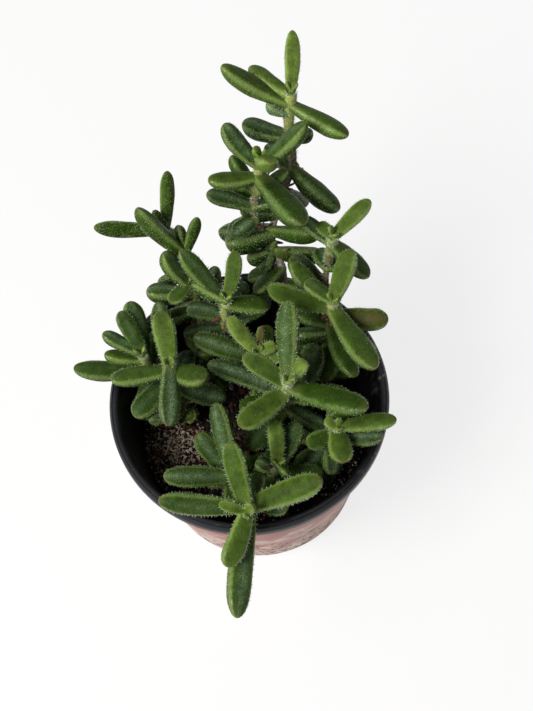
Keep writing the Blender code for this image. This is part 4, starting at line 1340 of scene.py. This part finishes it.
def grow_buds(foliage, chance):
    """Two buds at each shoot's tip, crosswise to its youngest pair."""
    for shoot, (plant, _, route, pairs) in SHOOTS.items():
        point, growth = below_tip(smooth_route(route), 0.3)
        compass_angle = pairs[0][1][0] * BUD_DEGREE
        aside = np.cross(growth, [math.cos(compass_angle), math.sin(compass_angle), 0.0])
        aside /= np.linalg.norm(aside)
        for sign in (-1, 1):
            way = growth * 0.8 + aside * sign * 0.55
            way /= np.linalg.norm(way)
            bud = Leaf(point, way, chance.uniform(2.4, 3.6), 1.9, growth, 1.0, chance)
            foliage.take(bud, f"{shoot}_rosette", plant, BRISTLE_SHARES.get(shoot, 1.0), {"tone": 0.9})


def grow_small_leaves(foliage, chance):
    for shoot, distance, azimuth, rise, length, width, look in SMALL_LEAVES:
        plant, _, route, _ = SHOOTS[shoot]
        point, growth = below_tip(smooth_route(route), distance)
        small = Leaf(point, compass(azimuth, rise), length, width, growth, 0.3, chance)
        foliage.take(small, "small", plant, look=look)


def grow_seedlings(foliage, chance):
    """Balls of tiny leaves near the soil, each leaf a golden angle on from the last, and single ones."""
    look = {"fuzz": 1.0, "pointed": 0.25, "tone": 0.95}
    for place, count, length, width in SEEDLINGS:
        for number in range(count):
            angle = 2.4 * number
            rise = 0.25 + 1.2 * number / count
            way = [math.cos(angle) * math.cos(rise), math.sin(angle) * math.cos(rise), math.sin(rise)]
            if count == 1:
                way = [-0.75, -0.35, 0.25]
            small = Leaf(place, way, length, width, np.array([0, 0, 1.0]), 0.9, chance)
            foliage.take(small, "seedlings", "left", look=look)


def add_foliage(foliage, skin, hair, chance):
    """The leaves' pieces, and each plant's bristles and stem hairs as one piece."""
    for piece, leaves in foliage.pieces.items():
        shape = bmesh.new()
        marks = leaf_marks(shape)
        for leaf in leaves:
            sides, rings = SMALL_LEAF_FACES if leaf.length < 7 else (LEAF_SIDES, LEAF_RINGS)
            add_leaf(shape, leaf, marks, sides, rings)
        extra = piece.startswith(("undergrowth", "seedlings", "small"))
        new_piece(f"{piece}_leaves", shape, [skin], () if extra else (piece,))
    for plant, leaves in foliage.plants.items():
        shape = bmesh.new()
        for leaf, share in leaves:
            add_leaf_bristles(shape, leaf, share, chance)
        for owner, girth, route, _ in SHOOTS.values():
            if owner == plant:
                add_stem_hairs(shape, smooth_route(route), girth, chance)
        new_piece(f"{plant}_bristles", shape, [hair])


def add_stems(bark):
    """One piece for each plant's stem, with the tubes of its shoots."""
    stems = {}
    for number, (shoot, (plant, girth, route, pairs)) in enumerate(SHOOTS.items()):
        if plant not in stems:
            shape = bmesh.new()
            stems[plant] = (shape, {"below": shape.verts.layers.float.new("below")})
        shape, marks = stems[plant]
        nodes = [pair[0] for pair in pairs + UNDERGROWTH.get(shoot, [])]
        add_stem(shape, smooth_route(route), girth, nodes, marks, number * 7.3)
    for plant, (shape, _) in stems.items():
        new_piece(f"{plant}_stems", shape, [bark], [f"{plant}_stem"])


def add_dry_remains(dry, chance):
    """Shreds of old leaves down each stem, and more of them where leaves have died."""
    shreds = bmesh.new()
    for _, _, route, _ in SHOOTS.values():
        curve = smooth_route(route)
        for distance in np.arange(18, length_of(curve) - 3, 5.5):
            for _ in range(int(chance.integers(1, 4))):
                point, growth = below_tip(curve, distance + chance.uniform(-1.5, 1.5))
                way = np.cross(growth, chance.normal(0, 1, 3))
                way = way / np.linalg.norm(way) - growth * chance.uniform(-0.2, 0.9)
                add_shred(shreds, point, way, chance.uniform(1.8, 4.5), chance.uniform(0.8, 1.9), chance)
    for shoot, distance, count in DEAD_BITS:
        _, girth, route, _ = SHOOTS[shoot]
        point, growth = below_tip(smooth_route(route), distance)
        for _ in range(count):
            way = np.cross(growth, chance.normal(0, 1, 3))
            way = way / np.linalg.norm(way) + growth * chance.normal(0, 0.5)
            start = point + growth * chance.normal(0, 0.8) + way * fleshy_radius(distance, girth) * 0.8
            add_shred(shreds, start, way, chance.uniform(1.6, 3.4), chance.uniform(0.8, 1.6), chance)
    new_piece("dry_shreds", shreds, [dry])


def build_plant(skin, hair, bark, dry):
    """All leaves, bristles, buds, stems and dry remains."""
    chance = np.random.default_rng(7)
    foliage = Foliage()
    grow_leaves(foliage, chance)
    grow_buds(foliage, chance)
    grow_small_leaves(foliage, chance)
    grow_seedlings(foliage, chance)
    add_foliage(foliage, skin, hair, chance)
    add_stems(bark)
    add_dry_remains(dry, chance)


build_plant(leaf_skin(), bristle_hair(), stem_bark(), dry_matter())

# ---------------------------------------------------------------------------------------------------------
# The soil's litter
# ---------------------------------------------------------------------------------------------------------

add_pot(terracotta_plastic(), black_plastic())
add_soil(humus())
chance = np.random.default_rng(21)

crumbs = [(x, y, chance.uniform(-0.1, 0.4)) for x, y in soil_places(1500, chance)]
new_piece(
    "peat_crumbs",
    scatter_lumps(crumbs, chance.uniform(0.35, 1.1, 1500), (0.6, 1.0), chance),
    [grit("peat_crumb", "0e0b09", "221a15", "3d2f25")],
)
sand = [(x, y, chance.uniform(0.0, 0.6)) for x, y in soil_places(1100, chance, (-26, -1.5), (5.5, 5.5))]
sand += [(x, y, chance.uniform(0.0, 0.5)) for x, y in soil_places(260, chance, (25, -17), (6, 7))]
sand += [(x, y, chance.uniform(0.0, 0.4)) for x, y in soil_places(340, chance)]
new_piece(
    "pumice_grit",
    scatter_lumps(sand, chance.uniform(0.16, 0.52, len(sand)), (0.7, 1.0), chance),
    [grit("pumice_grit", "7d6f5f", "a39380", "d9ccb8")],
)
chips = [(x, y, chance.uniform(0.1, 0.8)) for x, y in soil_places(170, chance)]
sizes = list(chance.uniform(0.6, 2.0, 170))
chips += [(-29.3, 5.6, 1.0), (-27.6, 5.0, 0.8), (-20.2, 3.6, 1.0), (-18.9, 3.2, 0.7)]
sizes += [2.3, 1.9, 2.1, 1.7]
new_piece(
    "bark_chips",
    scatter_lumps(chips, sizes, (0.2, 0.45), chance),
    [grit("composted_bark", "21130d", "482a1d", "74482f")],
)

# Straw fibres lie on the soil.
fibres = bmesh.new()
for x, y, turn, length in ((17, -17, 0.5, 9), (27, -13, 2.2, 6), (-17, -14, 1.2, 5), (6, 27, 0.2, 6)):
    place = (x, y, SOIL_HEIGHT + soil_lump(x, y) + 0.9)
    add_shred(fibres, place, (math.cos(turn), math.sin(turn), 0.05), length, 0.55, chance)
new_piece("straw_fibres", fibres, [bpy.data.materials["dry_leaf_shreds"]])

# ---------------------------------------------------------------------------------------------------------
# Floor, light and camera
# ---------------------------------------------------------------------------------------------------------


def seen_rays(tree):
    """1 on rays from the camera, or through or off a glossy surface, and 0 on the light's own rays."""
    camera_ray = add_node(tree, "LightPath", output="Is Camera Ray")
    rays = camera_ray.node.outputs
    shiny = [rays["Is Glossy Ray"], rays["Is Transmission Ray"]]
    shiny = add_node(tree, "Math", shiny, operation="MAXIMUM")
    return add_node(tree, "Math", [camera_ray, shiny], operation="MAXIMUM")


def add_floor():
    """A plain white floor. Part of its white, and all of it far from the pot, doesn't depend on the light."""
    shape = bmesh.new()
    bmesh.ops.create_circle(shape, cap_ends=True, segments=64, radius=2.5)
    mesh = bpy.data.meshes.new("floor")
    shape.to_mesh(mesh)
    shape.free()
    floor = bpy.data.objects.new("floor", mesh)
    scene.collection.objects.link(floor)
    made, add = new_material("white_floor")
    shader = made.node_tree.nodes["Principled BSDF"]
    shader.inputs["Base Color"].default_value = linear("f6f6f5")
    shader.inputs["Roughness"].default_value = 0.9
    shader.inputs["Specular IOR Level"].default_value = 0.0
    from_pot = add("VectorMath", [add("TexCoord", output="Object")], output="Value", operation="LENGTH")
    far = add("MapRange", [from_pot, 0.12, 0.8, 0.8, 1.0])
    share = add("Math", [seen_rays(made.node_tree), far], operation="MULTIPLY")
    white = add("Emission", {"Color": "ffffff", "Strength": 1.0})
    both = add("MixShader", [share, shader.outputs[0], white])
    give(made.node_tree.nodes["Material Output"].inputs["Surface"], both)
    mesh.materials.append(made)


def add_light():
    """A soft lamp from the upper left, and a dim world that shows as white to the camera."""
    world = bpy.data.worlds.new("studio")
    world.use_nodes = True
    tree = world.node_tree
    soft = tree.nodes["Background"]
    soft.inputs["Color"].default_value = (0.96, 0.98, 1.0, 1)
    soft.inputs["Strength"].default_value = 0.21
    white = add_node(tree, "Background", {"Color": "ffffff", "Strength": 1.0})
    both = add_node(tree, "MixShader", [seen_rays(tree), soft.outputs[0], white])
    give(tree.nodes["World Output"].inputs["Surface"], both)
    scene.world = world

    key = bpy.data.lights.new("key", "AREA")
    key.shape = "DISK"
    key.size = 0.45
    key.energy = 8.5
    key.color = (1.0, 0.985, 0.96)
    lamp = bpy.data.objects.new("key", key)
    lamp.location = (-0.48, -0.22, 0.74)
    lamp.rotation_mode = "QUATERNION"
    lamp.rotation_quaternion = (Vector(lamp.location) - Vector((0, 0.01, 0.06))).to_track_quat("Z", "Y")
    scene.collection.objects.link(lamp)


def add_camera():
    """The camera looks steeply down at the pot's mouth, a little from the left and slightly rolled."""
    pitch, yaw, roll = math.radians(65.75), math.radians(2.65), math.radians(-7.45)
    ahead = Vector((math.sin(yaw) * math.cos(pitch), math.cos(yaw) * math.cos(pitch), -math.sin(pitch)))
    level = Vector((math.cos(yaw), -math.sin(yaw), 0))
    above = level.cross(ahead)
    right = level * math.cos(roll) + above * math.sin(roll)
    up = above * math.cos(roll) - level * math.sin(roll)
    data = bpy.data.cameras.new("camera")
    data.lens = 65.8
    data.sensor_width = 36
    data.clip_start = 0.01
    camera = bpy.data.objects.new("camera", data)
    turn = Matrix((right, up, -ahead)).transposed().to_4x4()
    camera.matrix_world = Matrix.Translation((0, -0.1510, 0.4248)) @ turn
    scene.collection.objects.link(camera)
    scene.camera = camera


add_floor()
add_light()
add_camera()
scene.view_settings.view_transform = "Standard"
